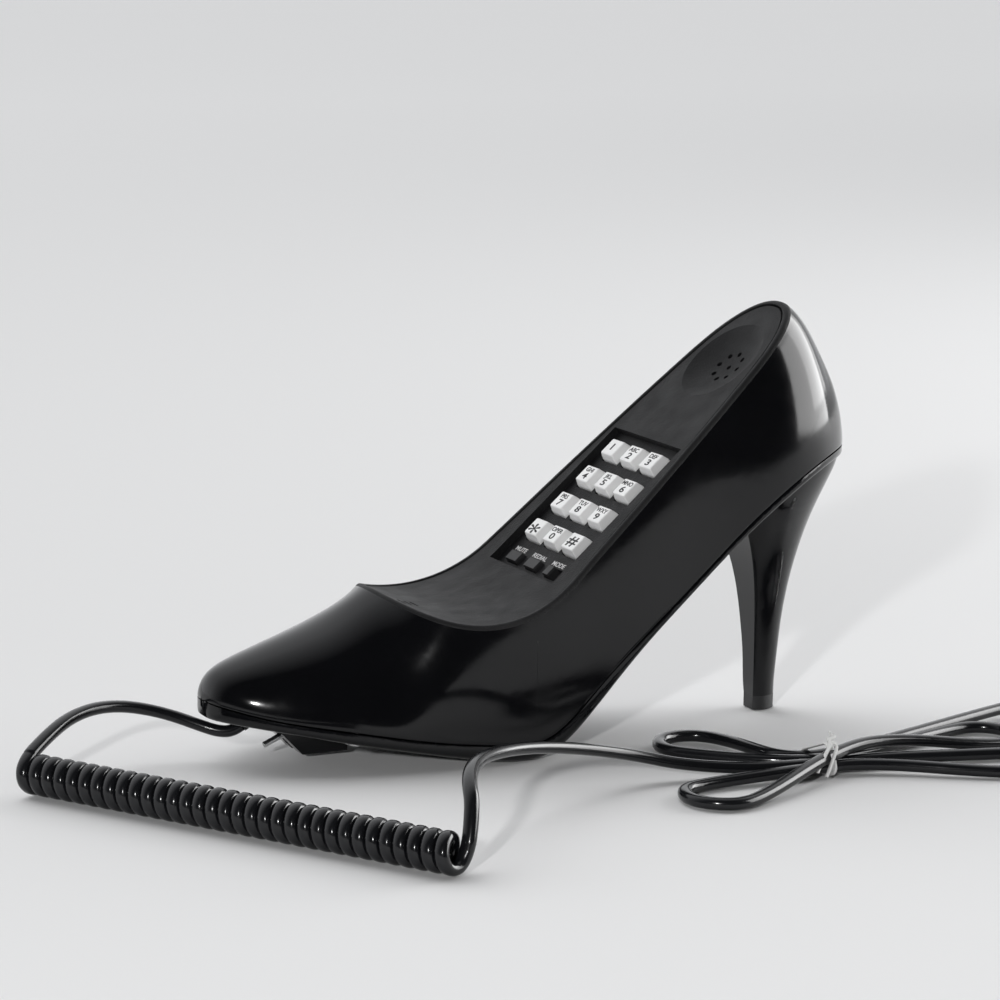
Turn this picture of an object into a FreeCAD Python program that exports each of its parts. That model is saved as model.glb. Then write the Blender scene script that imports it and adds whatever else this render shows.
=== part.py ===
import FreeCAD, Part
import math
import os

# High-heeled pump telephone: moulded shoe, keypad in the insole, sprung hook
# lever under the toe, curly cord, and line cord folded into a tied hank.
# Frame: millimetres, +X from toe to heel, +Y to the shoe's right, +Z up.
# The origin is on the table below the middle of the shoe's length.

Vector = FreeCAD.Vector
doc = FreeCAD.newDocument("shoe_telephone")
sheet = doc.addObject("Spreadsheet::Sheet", "sizes")
sub_parts = []

# Driving dimensions: alias and value in millimetres, degrees or counts.
SIZES = [
    # whole shoe
    ("shoe_length", 246.5),
    ("shell_wall", 2.4),
    ("sole_floor", 2.4),
    ("seam_gap", 0.4),
    ("sole_roundness", 6.0),
    # insole panel: a valley arc running into a straight slope
    ("valley_from_toe", 89.0),
    ("valley_height", 48.1),
    ("valley_radius", 50.0),
    ("panel_slope", 41.8),
    ("plate_thick", 2.2),
    ("plate_fit", 0.25),
    ("ledge_width", 1.8),
    ("ledge_thick", 2.2),
    # keypad
    ("keypad_up_slope", 33.3),
    ("key_pitch_across", 14.1),
    ("key_pitch_along", 13.3),
    ("key_wide", 10.6),
    ("key_deep", 8.7),
    ("key_taper", 17.0),
    ("key_stand", 3.4),
    ("key_skirt", 1.2),
    ("key_lip", 0.7),
    ("key_fit", 0.3),
    ("key_travel", 1.2),
    ("recess_depth", 3.0),
    ("recess_margin_along", 3.85),
    ("recess_margin_across", 5.0),
    ("pan_wall", 1.8),
    ("button_wide", 8.0),
    ("button_deep", 4.2),
    ("button_gap", 6.4),
    ("button_stand", 1.9),
    ("button_travel", 1.0),
    ("slider_wide", 4.0),
    ("slider_travel", 3.0),
    ("recess_tail", 2.65),
    ("layer_gap", 0.3),
    ("mat_thick", 1.0),
    ("dome_height", 0.4),
    ("dome_radius", 3.4),
    ("board_thick", 1.6),
    ("post_radius", 2.4),
    ("switch_side", 6.0),
    # receiver
    ("receiver_up_slope", 101.0),
    ("dish_radius", 17.5),
    ("dish_depth", 4.0),
    ("dish_wall", 1.8),
    ("sound_ring_radius", 6.1),
    ("sound_hole_radius", 1.0),
    ("sound_holes", 8),
    ("capsule_radius", 14.5),
    ("capsule_deep", 8.0),
    ("cup_wall", 1.5),
    ("gasket_thick", 1.2),
    # microphone
    ("mic_from_toe", 76.0),
    ("mic_radius", 4.85),
    ("mic_deep", 6.5),
    ("boot_wall", 1.5),
    ("mic_slot_long", 7.0),
    ("mic_slot_wide", 0.9),
    ("mic_slot_pitch", 2.4),
    # case screws
    ("screw_radius", 1.45),
    ("screw_head_radius", 2.8),
    ("screw_head_high", 1.6),
    ("screw_sink", 0.3),
    ("screw_long", 9.0),
    ("screw_fit", 0.05),
    ("screw_hole_fit", 0.2),
    ("screw_boss_wall", 1.8),
    # main board
    ("main_board_from_toe", 71.0),
    ("main_board_long", 48.0),
    ("main_board_half", 25.0),
    ("main_board_height", 12.0),
    ("board_screw_radius", 1.1),
    ("board_screw_head", 2.2),
    ("board_screw_long", 5.0),
    ("ringer_radius", 13.0),
    ("ringer_deep", 7.0),
    # heel
    ("tip_thick", 5.0),
    ("tip_spigot_radius", 1.6),
    ("tip_spigot_long", 9.0),
    # hook lever
    ("hook_pivot_from_toe", 34.5),
    ("hook_pivot_height", 9.9),
    ("hook_pin_radius", 1.0),
    ("hook_pin_long", 12.0),
    ("hook_pin_fit", 0.04),
    ("hook_rod_radius", 1.1),
    ("hook_rod_long", 12.8),
    ("hook_rod_droop", 23.6),
    ("hook_hub_radius", 2.2),
    ("hook_hub_wide", 2.6),
    ("hook_arm_long", 8.6),
    ("hook_arm_rise", 70.0),
    ("hook_slot_half", 1.7),
    ("block_half", 7.5),
    ("block_underside", 2.1),
    # cords
    ("cord_dia", 4.0),
    ("gland_long", 9.0),
    ("gland_taper", 0.6),
    ("gland_wall", 1.1),
    ("gland_dip", 35.0),
    ("coil_radius", 4.85),
    ("coil_turns", 32),
    ("hank_lift", 1.2),
    ("tie_wide", 3.0),
    ("tie_thick", 0.6),
    ("tie_fit", 0.35),
    ("plug_long", 12.6),
    ("plug_wide", 9.65),
    ("plug_high", 6.6),
]

# Cross-sections of the shoe, from the toe to the back of the heel: place as a
# share of the length, half width at the seam, heights of the seam, the
# underside and the crest of the arch, and the squareness of the arch.
SECTION_FIELDS = ("share", "half", "seam", "under", "crest", "power")
SECTIONS = [
    (0.003, 5.0, 22.6, 17.2, 26.4, 2.0),
    (0.012, 9.5, 22.0, 16.5, 30.6, 2.0),
    (0.032, 15.0, 20.8, 15.7, 34.0, 2.0),
    (0.065, 20.5, 18.8, 14.4, 37.2, 1.95),
    (0.114, 26.5, 16.6, 12.3, 41.3, 1.9),
    (0.178, 31.8, 14.0, 9.0, 47.2, 1.9),
    (0.243, 35.6, 11.2, 6.0, 56.0, 1.9),
    (0.308, 38.0, 8.7, 2.9, 66.5, 2.9),
    (0.381, 39.0, 6.6, -0.3, 76.0, 4.1),
    (0.454, 38.2, 7.2, -0.3, 88.0, 4.1),
    (0.527, 35.8, 20.2, 11.5, 99.5, 4.1),
    (0.609, 33.3, 37.6, 32.0, 112.5, 4.3),
    (0.698, 30.4, 55.0, 51.0, 127.0, 4.2),
    (0.779, 29.0, 72.0, 67.8, 140.5, 3.2),
    (0.844, 28.4, 84.2, 79.9, 148.5, 2.6),
    (0.897, 25.6, 91.6, 87.5, 147.6, 2.2),
    (0.941, 19.6, 95.0, 91.1, 134.5, 2.0),
    (0.974, 12.0, 95.8, 92.1, 120.5, 2.0),
    (0.992, 6.2, 95.8, 92.5, 109.0, 2.0),
    (1.000, 2.6, 95.9, 93.4, 101.0, 2.0),
]

# Cross-sections of the heel: height, front and back as distances forward of
# the shoe's back, half width, and half width of the flat breast.
HEEL_FIELDS = ("level", "front", "back", "flank", "breast")
HEEL = [
    (5.0, 34.2, 24.2, 4.6, 3.2),
    (18.3, 34.7, 23.5, 5.4, 4.0),
    (31.6, 35.5, 22.3, 6.6, 5.1),
    (44.9, 36.9, 20.2, 8.6, 6.7),
    (58.1, 39.8, 16.9, 11.8, 9.1),
    (71.4, 45.6, 12.5, 17.3, 13.5),
    (84.7, 53.3, 6.2, 23.2, 18.6),
    (98.0, 61.0, 3.0, 26.0, 21.5),
]

# Case screws: distance from the toe and half spacing across.
CASE_SCREWS = [("toe", 44.0, 26.5), ("ball", 104.0, 33.4), ("seat", 186.0, 24.4)]

# Routes of the free cord, in the shoe's frame.
TAIL_ROUTE = [
    (-111.6, 0.3, 10.7), (-116.0, 2.0, 10.6), (-121.2, 5.4, 12.3), (-128.5, 9.3, 15.2), (-137.5, 11.8, 18.0),
    (-147.5, 11.8, 20.2), (-157.5, 9.2, 21.0), (-167.0, 4.2, 20.3), (-175.5, -2.4, 18.4),
]
LEAD_ROUTE = [
    (-90.9, -143.3, 20.6), (-89.2, -137.6, 24.0), (-84.8, -128.6, 25.8), (-78.2, -119.4, 26.2),
    (-68.5, -109.6, 25.2), (-54.5, -99.0, 23.0), (-37.0, -89.2, 19.4), (-18.0, -81.4, 14.8),
    (1.0, -76.6, 9.8), (18.0, -78.2, 5.2),
]
COIL_START = Vector(-187.4, -12.2, 0)
COIL_END = Vector(-99.2, -150.4, 0)
COIL_ENTRY_ANGLE = 30.0
COIL_EXIT_ANGLE = 255.0

# Hank: where the tie holds it, the spacing of the strands there, and the
# centre, radius and heading of each end fold.
WAIST = Vector(70.0, -86.0, 0)
WAIST_RUN = 8.0
STRAND_STEP = 4.8
HANK_ENTRY = Vector(43.0, -85.2, 0)
FOLD_RIGHT_NEAR = (Vector(128.0, -108.0, 0), 12.0, -14.0)
FOLD_LEFT_NEAR = (Vector(18.0, -106.0, 0), 12.0, 196.0)
FOLD_RIGHT_FAR = (Vector(141.0, -74.0, 0), 12.0, 8.0)
FOLD_LEFT_FAR = (Vector(41.0, -46.0, 0), 11.0, 128.0)
PLUG_FACE = Vector(176.0, -47.0, 0)

# Chosen by hand: how the arch of a section is divided, in degrees.
ARCH_STEPS = (0.0, 3.0, 10.0, 22.0, 36.0, 50.0, 64.0, 78.0, 90.0)
REACH = 300.0

# Length of the last on which the places along the shoe are drawn; a longer or
# shorter shoe is graded from it.
LAST_LENGTH = 246.5


def fill_sheet():
    """Write every driving dimension into the sheet under its alias."""
    rows = list(SIZES)
    for index, section in enumerate(SECTIONS):
        rows += [(f"{field}_{index}", value) for field, value in zip(SECTION_FIELDS, section)]
    for index, section in enumerate(HEEL):
        rows += [(f"{field}_{index}", value) for field, value in zip(HEEL_FIELDS, section)]
    for name, from_toe, across in CASE_SCREWS:
        rows += [(f"{name}_screw_from_toe", from_toe), (f"{name}_screw_across", across)]
    for row, (alias, value) in enumerate(rows, start=1):
        sheet.set(f"A{row}", alias)
        sheet.set(f"B{row}", str(value))
        sheet.setAlias(f"B{row}", alias)
    doc.recompute()


def size(alias):
    """Value of a driving dimension."""
    return float(sheet.get(alias))


def grade():
    """How far places along the shoe move apart as the shoe is made longer."""
    return size("shoe_length") / LAST_LENGTH


def station(from_toe):
    """X of a place given by its distance from the toe on the last."""
    return from_toe * grade() - size("shoe_length") / 2


def section_value(field, index):
    return size(f"{field}_{index}")


def section_x(index):
    return station(section_value("share", index) * LAST_LENGTH)


def height_at(field, x):
    """Height of the seam, underside or crest at X, between the sections."""
    last = len(SECTIONS) - 1
    for index in range(last):
        low, high = section_x(index), section_x(index + 1)
        if x <= high or index == last - 1:
            part = (x - low) / (high - low)
            start, end = section_value(field, index), section_value(field, index + 1)
            return start + (end - start) * part


def add(label, shape, placement=None):
    """Add a finished solid as a sub-part."""
    feature = doc.addObject("Part::Feature", label)
    feature.Label = label
    feature.Shape = shape
    if placement:
        feature.Placement = placement
    sub_parts.append(feature)
    return feature


def keep(feature, label, placement=None):
    """Take an object of the document as a sub-part."""
    feature.Label = label
    if placement:
        feature.Placement = placement
    sub_parts.append(feature)
    return feature


def bind(feature, **expressions):
    """Bind properties of an object to the sheet."""
    for name, expression in expressions.items():
        feature.setExpression(name.replace("__", "."), expression)


def box(low, high):
    return Part.makeBox(high.x - low.x, high.y - low.y, high.z - low.z, low)


def rod(start, end, radius):
    return Part.makeCylinder(radius, (end - start).Length, start, end - start)


def polygon(points):
    return Part.makePolygon(list(points) + [points[0]])


def across(profile):
    """Solid from a closed profile in the XZ plane, drawn out along Y both ways."""
    face = Part.Face(profile)
    face.translate(Vector(0, -REACH / 2, 0))
    return face.extrude(Vector(0, REACH, 0))


# Insole panel line


def panel_frame():
    """Placement of the panel: X up the slope, Y across, Z out of the panel."""
    slope = size("panel_slope")
    start_x, start_z = slope_start()
    along = size("keypad_up_slope")
    turn = math.radians(slope)
    origin = Vector(start_x + along * math.cos(turn), 0, start_z + along * math.sin(turn))
    return FreeCAD.Placement(origin, FreeCAD.Rotation(Vector(0, 1, 0), -slope))


def slope_start():
    """Where the valley arc runs into the straight slope."""
    turn = math.radians(size("panel_slope"))
    radius = size("valley_radius")
    centre_z = size("valley_height") + radius
    return station(size("valley_from_toe")) + radius * math.sin(turn), centre_z - radius * math.cos(turn)


def panel_edges(depth):
    """Panel line lowered by depth along its normal: arc, then straight slope."""
    turn = math.radians(size("panel_slope"))
    radius = size("valley_radius") + depth
    centre = Vector(station(size("valley_from_toe")), 0, size("valley_height") + size("valley_radius"))
    lead_in = math.radians(55.0)

    def on_arc(angle):
        return centre + Vector(math.sin(angle), 0, -math.cos(angle)) * radius

    end = on_arc(turn) + Vector(math.cos(turn), 0, math.sin(turn)) * REACH / 2
    arc = Part.Arc(on_arc(-lead_in), on_arc((turn - lead_in) / 2), on_arc(turn)).toShape()
    return [arc, Part.makeLine(on_arc(turn), end)], on_arc(-lead_in), end


def above_panel(depth):
    """Everything above the panel line lowered by depth."""
    edges, first, last = panel_edges(depth)
    corners = [last, Vector(last.x, 0, REACH), Vector(first.x, 0, REACH), first]
    lines = [Part.makeLine(a, b) for a, b in zip(corners, corners[1:])]
    return across(Part.Wire(edges + lines))


def panel_layer(top, bottom):
    """Layer that follows the panel, between two depths."""
    return above_panel(bottom).cut(above_panel(top))


# Shoe shells


def arch_points(index, inset, base):
    """Points of a section's arch, from seam to seam over the crest."""
    half = section_value("half", index) - inset
    rise = section_value("crest", index) - inset - base
    power = 2.0 / section_value("power", index)
    x = section_x(index)
    quarter = []
    for step in ARCH_STEPS:
        turn = math.radians(step)
        quarter.append((half * max(math.cos(turn), 0.0) ** power, base + rise * math.sin(turn) ** power))
    quarter[-1] = (0.0, base + rise)
    near = [Vector(x, -y, z) for y, z in quarter]
    far = [Vector(x, y, z) for y, z in quarter[-2::-1]]
    return near + far


def keel_points(index, inset, top):
    """Points of a section's underside, from seam to seam under the floor."""
    half = section_value("half", index) - inset
    drop = top - section_value("under", index) - (size("sole_floor") if inset else 0.0)
    power = 2.0 / size("sole_roundness")
    x = section_x(index)
    quarter = []
    for step in (0.0, 12.0, 30.0, 48.0, 66.0, 80.0, 90.0):
        turn = math.radians(step)
        quarter.append((half * max(math.cos(turn), 0.0) ** power, top - drop * math.sin(turn) ** power))
    quarter[-1] = (0.0, top - drop)
    far = [Vector(x, y, z) for y, z in quarter]
    near = [Vector(x, -y, z) for y, z in quarter[-2::-1]]
    return far + near


def shared_steps(points):
    """Spacing of a curve's parameters, from the root of its chords."""
    steps = [0.0]
    for a, b in zip(points, points[1:]):
        steps.append(steps[-1] + math.sqrt((b - a).Length))
    return [step / steps[-1] for step in steps]


def closed_section(points, steps, closing):
    """Wire of a curve through points, closed by straight lines."""
    curve = Part.BSplineCurve()
    curve.interpolate(Points=points, Parameters=steps)
    corners = [points[-1]] + closing + [points[0]]
    lines = [Part.makeLine(a, b) for a, b in zip(corners, corners[1:])]
    return Part.Wire([curve.toShape()] + lines)


MID_SECTION = len(SECTIONS) // 2


def arch_solid(inset, skip):
    """Loft under the arch of the shoe; an inset one reaches below the seam."""
    gap = size("seam_gap") / 2
    steps = shared_steps(arch_points(MID_SECTION, inset, section_value("seam", MID_SECTION)))
    wires = []
    for index in range(skip, len(SECTIONS) - skip):
        base = section_value("seam", index) + gap
        points = arch_points(index, inset, base)
        closing = []
        if inset:
            reach_down = Vector(0, 0, -2 * size("shell_wall"))
            closing = [points[-1] + reach_down, points[0] + reach_down]
        wires.append(closed_section(points, steps, closing))
    return Part.makeLoft(wires, True, False)


def keel_solid(inset, first, last):
    """Loft below the seam; an inset one is open upwards."""
    gap = size("seam_gap") / 2
    steps = shared_steps(keel_points(MID_SECTION, inset, section_value("seam", MID_SECTION)))
    wires = []
    for index in range(first, last):
        points = keel_points(index, inset, section_value("seam", index) - gap)
        closing = []
        if inset:
            reach_up = Vector(0, 0, 2 * size("shell_wall"))
            closing = [points[-1] + reach_up, points[0] + reach_up]
        wires.append(closed_section(points, steps, closing))
    return Part.makeLoft(wires, True, inset > 0)


def seam_side(drop, limit):
    """Everything between the seam line, lowered by drop, and a level."""
    points = [Vector(section_x(i), 0, section_value("seam", i) - drop) for i in range(len(SECTIONS))]
    curve = Part.BSplineCurve()
    curve.interpolate(Points=points)
    first, last = points[0], points[-1]
    beyond = last + Vector(REACH / 10, 0, 0)
    corners = [last, beyond, Vector(beyond.x, 0, limit), Vector(first.x, 0, limit), first]
    lines = [Part.makeLine(a, b) for a, b in zip(corners, corners[1:])]
    return across(Part.Wire([curve.toShape()] + lines))


def below_bosses():
    """Everything below the feet of the upper's bosses, a little over its edge."""
    return seam_side(-size("seam_gap") / 2 - size("layer_gap"), -REACH)


def slope_at(field, x):
    """Slope of the seam, underside or crest at X, in degrees."""
    step = 1.0
    return math.degrees(math.atan2(height_at(field, x + step) - height_at(field, x - step), 2 * step))


def case_screw_frames():
    """Placements of the case screws: on the underside, Z square into the shoe."""
    frames = []
    for name, _, _ in CASE_SCREWS:
        x = station(size(f"{name}_screw_from_toe"))
        turn = FreeCAD.Rotation(Vector(0, 1, 0), -slope_at("under", x))
        for side in (-1, 1):
            place = Vector(x, side * size(f"{name}_screw_across"), height_at("under", x))
            frames.append(FreeCAD.Placement(place, turn))
    return frames


def screw_seat():
    """Depth of the underside of a case screw's head below the sole's surface."""
    return size("screw_sink") + size("screw_head_high")


def upright(frame, radius, low, high):
    """Cylinder on a frame's Z axis between two heights."""
    cylinder = Part.makeCylinder(radius, high - low, Vector(0, 0, low))
    return cylinder.transformed(frame.toMatrix())


def make_upper_shell(outer, inner, ledge_inner):
    """Glossy upper: open below, cut along the panel line, with a ledge for the plate."""
    ledge_top = size("plate_thick") + size("plate_fit")
    ledge = panel_layer(ledge_top, ledge_top + size("ledge_thick"))
    shell = outer.cut(inner.cut(ledge)).cut(ledge_inner)
    bore = size("screw_radius") + size("screw_fit")
    end = screw_seat() + size("screw_long") + size("layer_gap")
    core = arch_solid(size("shell_wall") / 2, 1)
    bosses = [upright(frame, bore + size("screw_boss_wall"), 0.0, end + size("screw_boss_wall")) for frame in case_screw_frames()]
    bosses = Part.makeCompound(bosses).common(core).cut(below_bosses())
    shell = shell.fuse(bosses.Solids).cut(above_panel(0.0))
    shell = shell.cut([upright(frame, bore, 0.0, end) for frame in case_screw_frames()])
    add("upper_shell", largest(shell))


def largest(shape):
    """The biggest solid of a shape, which drops loose crumbs of a cut."""
    return max(shape.Solids, key=lambda solid: solid.Volume)


# Sole, heel and hook block


def heel_section(index):
    """D-shaped wire of the heel: flat breast in front, round back."""
    level, front, back, flank, breast = (size(f"{field}_{index}") for field in HEEL_FIELDS)
    rear = size("shoe_length") / 2
    start, deep = rear - front * grade(), (front - back) * grade()
    side = [(0.0, breast), (0.12, breast + 0.62 * (flank - breast)), (0.4, flank), (0.72, 0.80 * flank), (0.93, 0.42 * flank)]
    far = [Vector(start + share * deep, y, level) for share, y in side]
    near = [Vector(point.x, -point.y, level) for point in reversed(far)]
    points = far + [Vector(start + deep, 0, level)] + near
    curve = Part.BSplineCurve()
    curve.interpolate(Points=points, Parameters=[i / (len(points) - 1) for i in range(len(points))])
    return Part.Wire([curve.toShape(), Part.makeLine(points[-1], points[0])])


def hook_pivot():
    return Vector(station(size("hook_pivot_from_toe")), 0, size("hook_pivot_height"))


def hook_block():
    """Wedge under the toe that carries the hook lever."""
    pivot = hook_pivot()
    low = size("block_underside")
    front, toe, back = pivot.x - 12.6, pivot.x - 0.5, pivot.x + 16.0
    rise = size("sole_floor") / 2
    profile = [
        Vector(front, 0, height_at("under", front) + rise),
        Vector(toe, 0, low),
        Vector(back, 0, low),
        Vector(back, 0, height_at("under", back) + rise),
    ]
    wedge = Part.Face(polygon(profile))
    wedge.translate(Vector(0, -size("block_half"), 0))
    return wedge.extrude(Vector(0, 2 * size("block_half"), 0))


def hook_slots():
    """Slots for the lever: along the block for its rod, through the floor for its arm."""
    pivot = hook_pivot()
    half = size("hook_slot_half")
    hub = size("hook_hub_radius") + size("layer_gap")
    reach = size("hook_rod_long") + size("layer_gap")
    rod_slot = box(Vector(pivot.x - reach, -half, -1.0), Vector(pivot.x + hub, half, pivot.z + hub))
    arm_slot = box(Vector(pivot.x - hub, -half, pivot.z), Vector(pivot.x + 3 * hub, half, pivot.z + 3 * hub))
    return [rod_slot, arm_slot]


def switch_seat():
    """Corners of the post that carries the hook switch."""
    pivot = hook_pivot()
    low = Vector(pivot.x + 8.6, -3.0, height_at("under", pivot.x + 8.6) + 0.5)
    return low, Vector(pivot.x + 18.6, 3.0, pivot.z + 5.6)


def board_post_places():
    """Centres of the main board's posts."""
    margin = 2 * size("post_radius")
    first = station(size("main_board_from_toe")) + margin
    last = station(size("main_board_from_toe")) + size("main_board_long") - margin
    reach = size("main_board_half") - margin
    return [Vector(x, side * reach, size("main_board_height")) for x in (first, last) for side in (-1, 1)]


def make_sole_shell():
    """Glossy sole tray with the heel, screw bosses, board posts and hook block in one moulding."""
    last = len(SECTIONS)
    tray = keel_solid(0.0, 0, last)
    heel = Part.makeLoft([heel_section(i) for i in range(len(HEEL))], True, False).cut(seam_side(size("sole_floor") / 2, REACH))
    hollow = keel_solid(size("shell_wall"), 2, last - 5)
    head = size("screw_head_radius") + size("screw_hole_fit")
    shank = size("screw_radius") + size("screw_hole_fit")
    extra = [hook_block(), heel]
    for frame in case_screw_frames():
        extra.append(upright(frame, head + size("screw_boss_wall"), -REACH / 10, REACH / 10).common(tray))
    for place in board_post_places():
        low = height_at("under", place.x) + 0.5
        extra.append(Part.makeCylinder(size("post_radius"), place.z - low, Vector(place.x, place.y, low)))
    extra.append(box(*switch_seat()))
    sole = tray.cut(hollow).fuse(extra)
    cuts = hook_slots() + [Part.makeBox(REACH * 2, REACH, REACH / 4, Vector(-REACH, -REACH / 2, -REACH / 4))]
    for frame in case_screw_frames():
        cuts.append(upright(frame, head, -REACH / 10, screw_seat()))
        cuts.append(upright(frame, shank, 0.0, REACH / 10))
    for place in board_post_places():
        bore = size("board_screw_radius") + size("screw_fit")
        cuts.append(Part.makeCylinder(bore, size("board_screw_long"), place - Vector(0, 0, size("board_screw_long") - 1.0)))
    pivot = hook_pivot()
    half = size("hook_pin_long") / 2
    bore = size("hook_pin_radius") + size("hook_pin_fit") / 2
    cuts.append(rod(pivot - Vector(0, half, 0), pivot + Vector(0, half, 0), bore))
    start, end = gland_axis()
    reach = (end - start).normalize()
    cuts.append(rod(start - reach * 2.0, end + reach * 4.0, gland_radius() + size("plate_fit")))
    cuts.append(tip_spigot(size("hook_pin_fit") / 2))
    sole = sole.cut(cuts)
    add("sole_shell", largest(sole).removeSplitter())


def tip_centre():
    """Centre of the heel's foot, on the table."""
    rear = size("shoe_length") / 2
    return Vector(rear - (size("front_0") + size("back_0")) * grade() / 2, 0, 0)


def tip_spigot(extra):
    """Peg of the heel tip, with some extra radius for its hole."""
    top = size("level_0")
    return Part.makeCylinder(size("tip_spigot_radius") + extra, size("tip_spigot_long"), tip_centre() + Vector(0, 0, top - 1.0))


def make_heel_tip():
    """Rubber top lift, in the outline of the heel's foot, with its peg."""
    outline = heel_section(0)
    lift = Part.Face(outline).extrude(Vector(0, 0, -size("level_0")))
    add("heel_tip", lift.fuse(tip_spigot(0.0)).removeSplitter())


def make_case_screws():
    """Pan-head screws from below through the sole into the upper."""
    seat = screw_seat()
    deep = size("screw_head_high") * 0.6
    head = Part.makeCylinder(size("screw_head_radius"), size("screw_head_high"), Vector(0, 0, size("screw_sink")))
    shank = Part.makeCylinder(size("screw_radius"), size("screw_long"), Vector(0, 0, seat))
    reach = size("screw_head_radius") * 0.64
    slot = box(Vector(-reach, -0.35, 0), Vector(reach, 0.35, size("screw_sink") + deep))
    crossing = slot.copy()
    crossing.rotate(Vector(0, 0, 0), Vector(0, 0, 1), 90)
    screw = head.fuse(shank).cut([slot, crossing]).removeSplitter()
    add("case_screws", Part.makeCompound([screw.transformed(frame.toMatrix()) for frame in case_screw_frames()]))


# Face plate and keypad, in the panel's frame


def key_places():
    """Name and place of each key, from the top row down."""
    rows = (("1", "2", "3"), ("4", "5", "6"), ("7", "8", "9"), ("star", "0", "hash"))
    for row, names in enumerate(rows):
        for column, name in enumerate(names):
            along = (1.5 - row) * size("key_pitch_along")
            yield f"key_{name}", Vector(along, (1 - column) * size("key_pitch_across"), 0)


def button_row():
    """Place of the button row below the keys, along the slope."""
    return -(1.5 * size("key_pitch_along") + size("key_deep") / 2 + size("button_gap") + size("button_deep") / 2)


def recess_box(grow, top, bottom):
    """Keypad recess grown sideways, between two heights over the panel."""
    high = 1.5 * size("key_pitch_along") + size("key_deep") / 2 + size("recess_margin_along") + grow
    low = button_row() - size("button_deep") / 2 - size("recess_tail") - grow
    half = size("key_pitch_across") + size("key_wide") / 2 + size("recess_margin_across") + grow
    return box(Vector(low, -half, bottom), Vector(high, half, top))


def pan_underside():
    return -size("recess_depth") - size("pan_wall")


def mat_top():
    """Level of the rubber mat, below the keys at full travel."""
    lip = pan_underside() - size("layer_gap") - size("key_skirt")
    return lip - size("key_travel") - size("layer_gap") - size("dome_height")


def board_top():
    return mat_top() - size("mat_thick")


def keypad_post_places():
    """Centres of the four posts between pan and keypad board."""
    inset = size("post_radius")
    bound = recess_box(0.0, 0.0, -1.0).BoundBox
    return [Vector(x, side * (bound.YMax - inset), 0) for x in (bound.XMin + inset, bound.XMax) for side in (-1, 1)]


def dish_centre():
    return Vector(size("receiver_up_slope") * grade() - size("keypad_up_slope"), 0, 0)


def dish_sphere(grow):
    """Ball whose cap is the receiver's dish."""
    deep = size("dish_depth")
    radius = (size("dish_radius") ** 2 + deep ** 2) / (2 * deep)
    return Part.makeSphere(radius + grow, dish_centre() + Vector(0, 0, radius - deep))


def capsule_top():
    return -size("dish_depth") - size("dish_wall") - size("gasket_thick")


def mic_frame():
    """Placement at the microphone slots: on the valley arc, Z out of the panel."""
    offset = station(size("mic_from_toe")) - station(size("valley_from_toe"))
    radius = size("valley_radius")
    turn = math.asin(offset / radius)
    centre = Vector(station(size("valley_from_toe")), 0, size("valley_height") + radius)
    place = centre + Vector(math.sin(turn), 0, -math.cos(turn)) * radius
    return FreeCAD.Placement(place, FreeCAD.Rotation(Vector(0, 1, 0), -math.degrees(turn)))


def button_places():
    pitch = size("key_pitch_across")
    return {"mute_button": pitch, "redial_button": 0.0, "mode_slider": -pitch}


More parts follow.
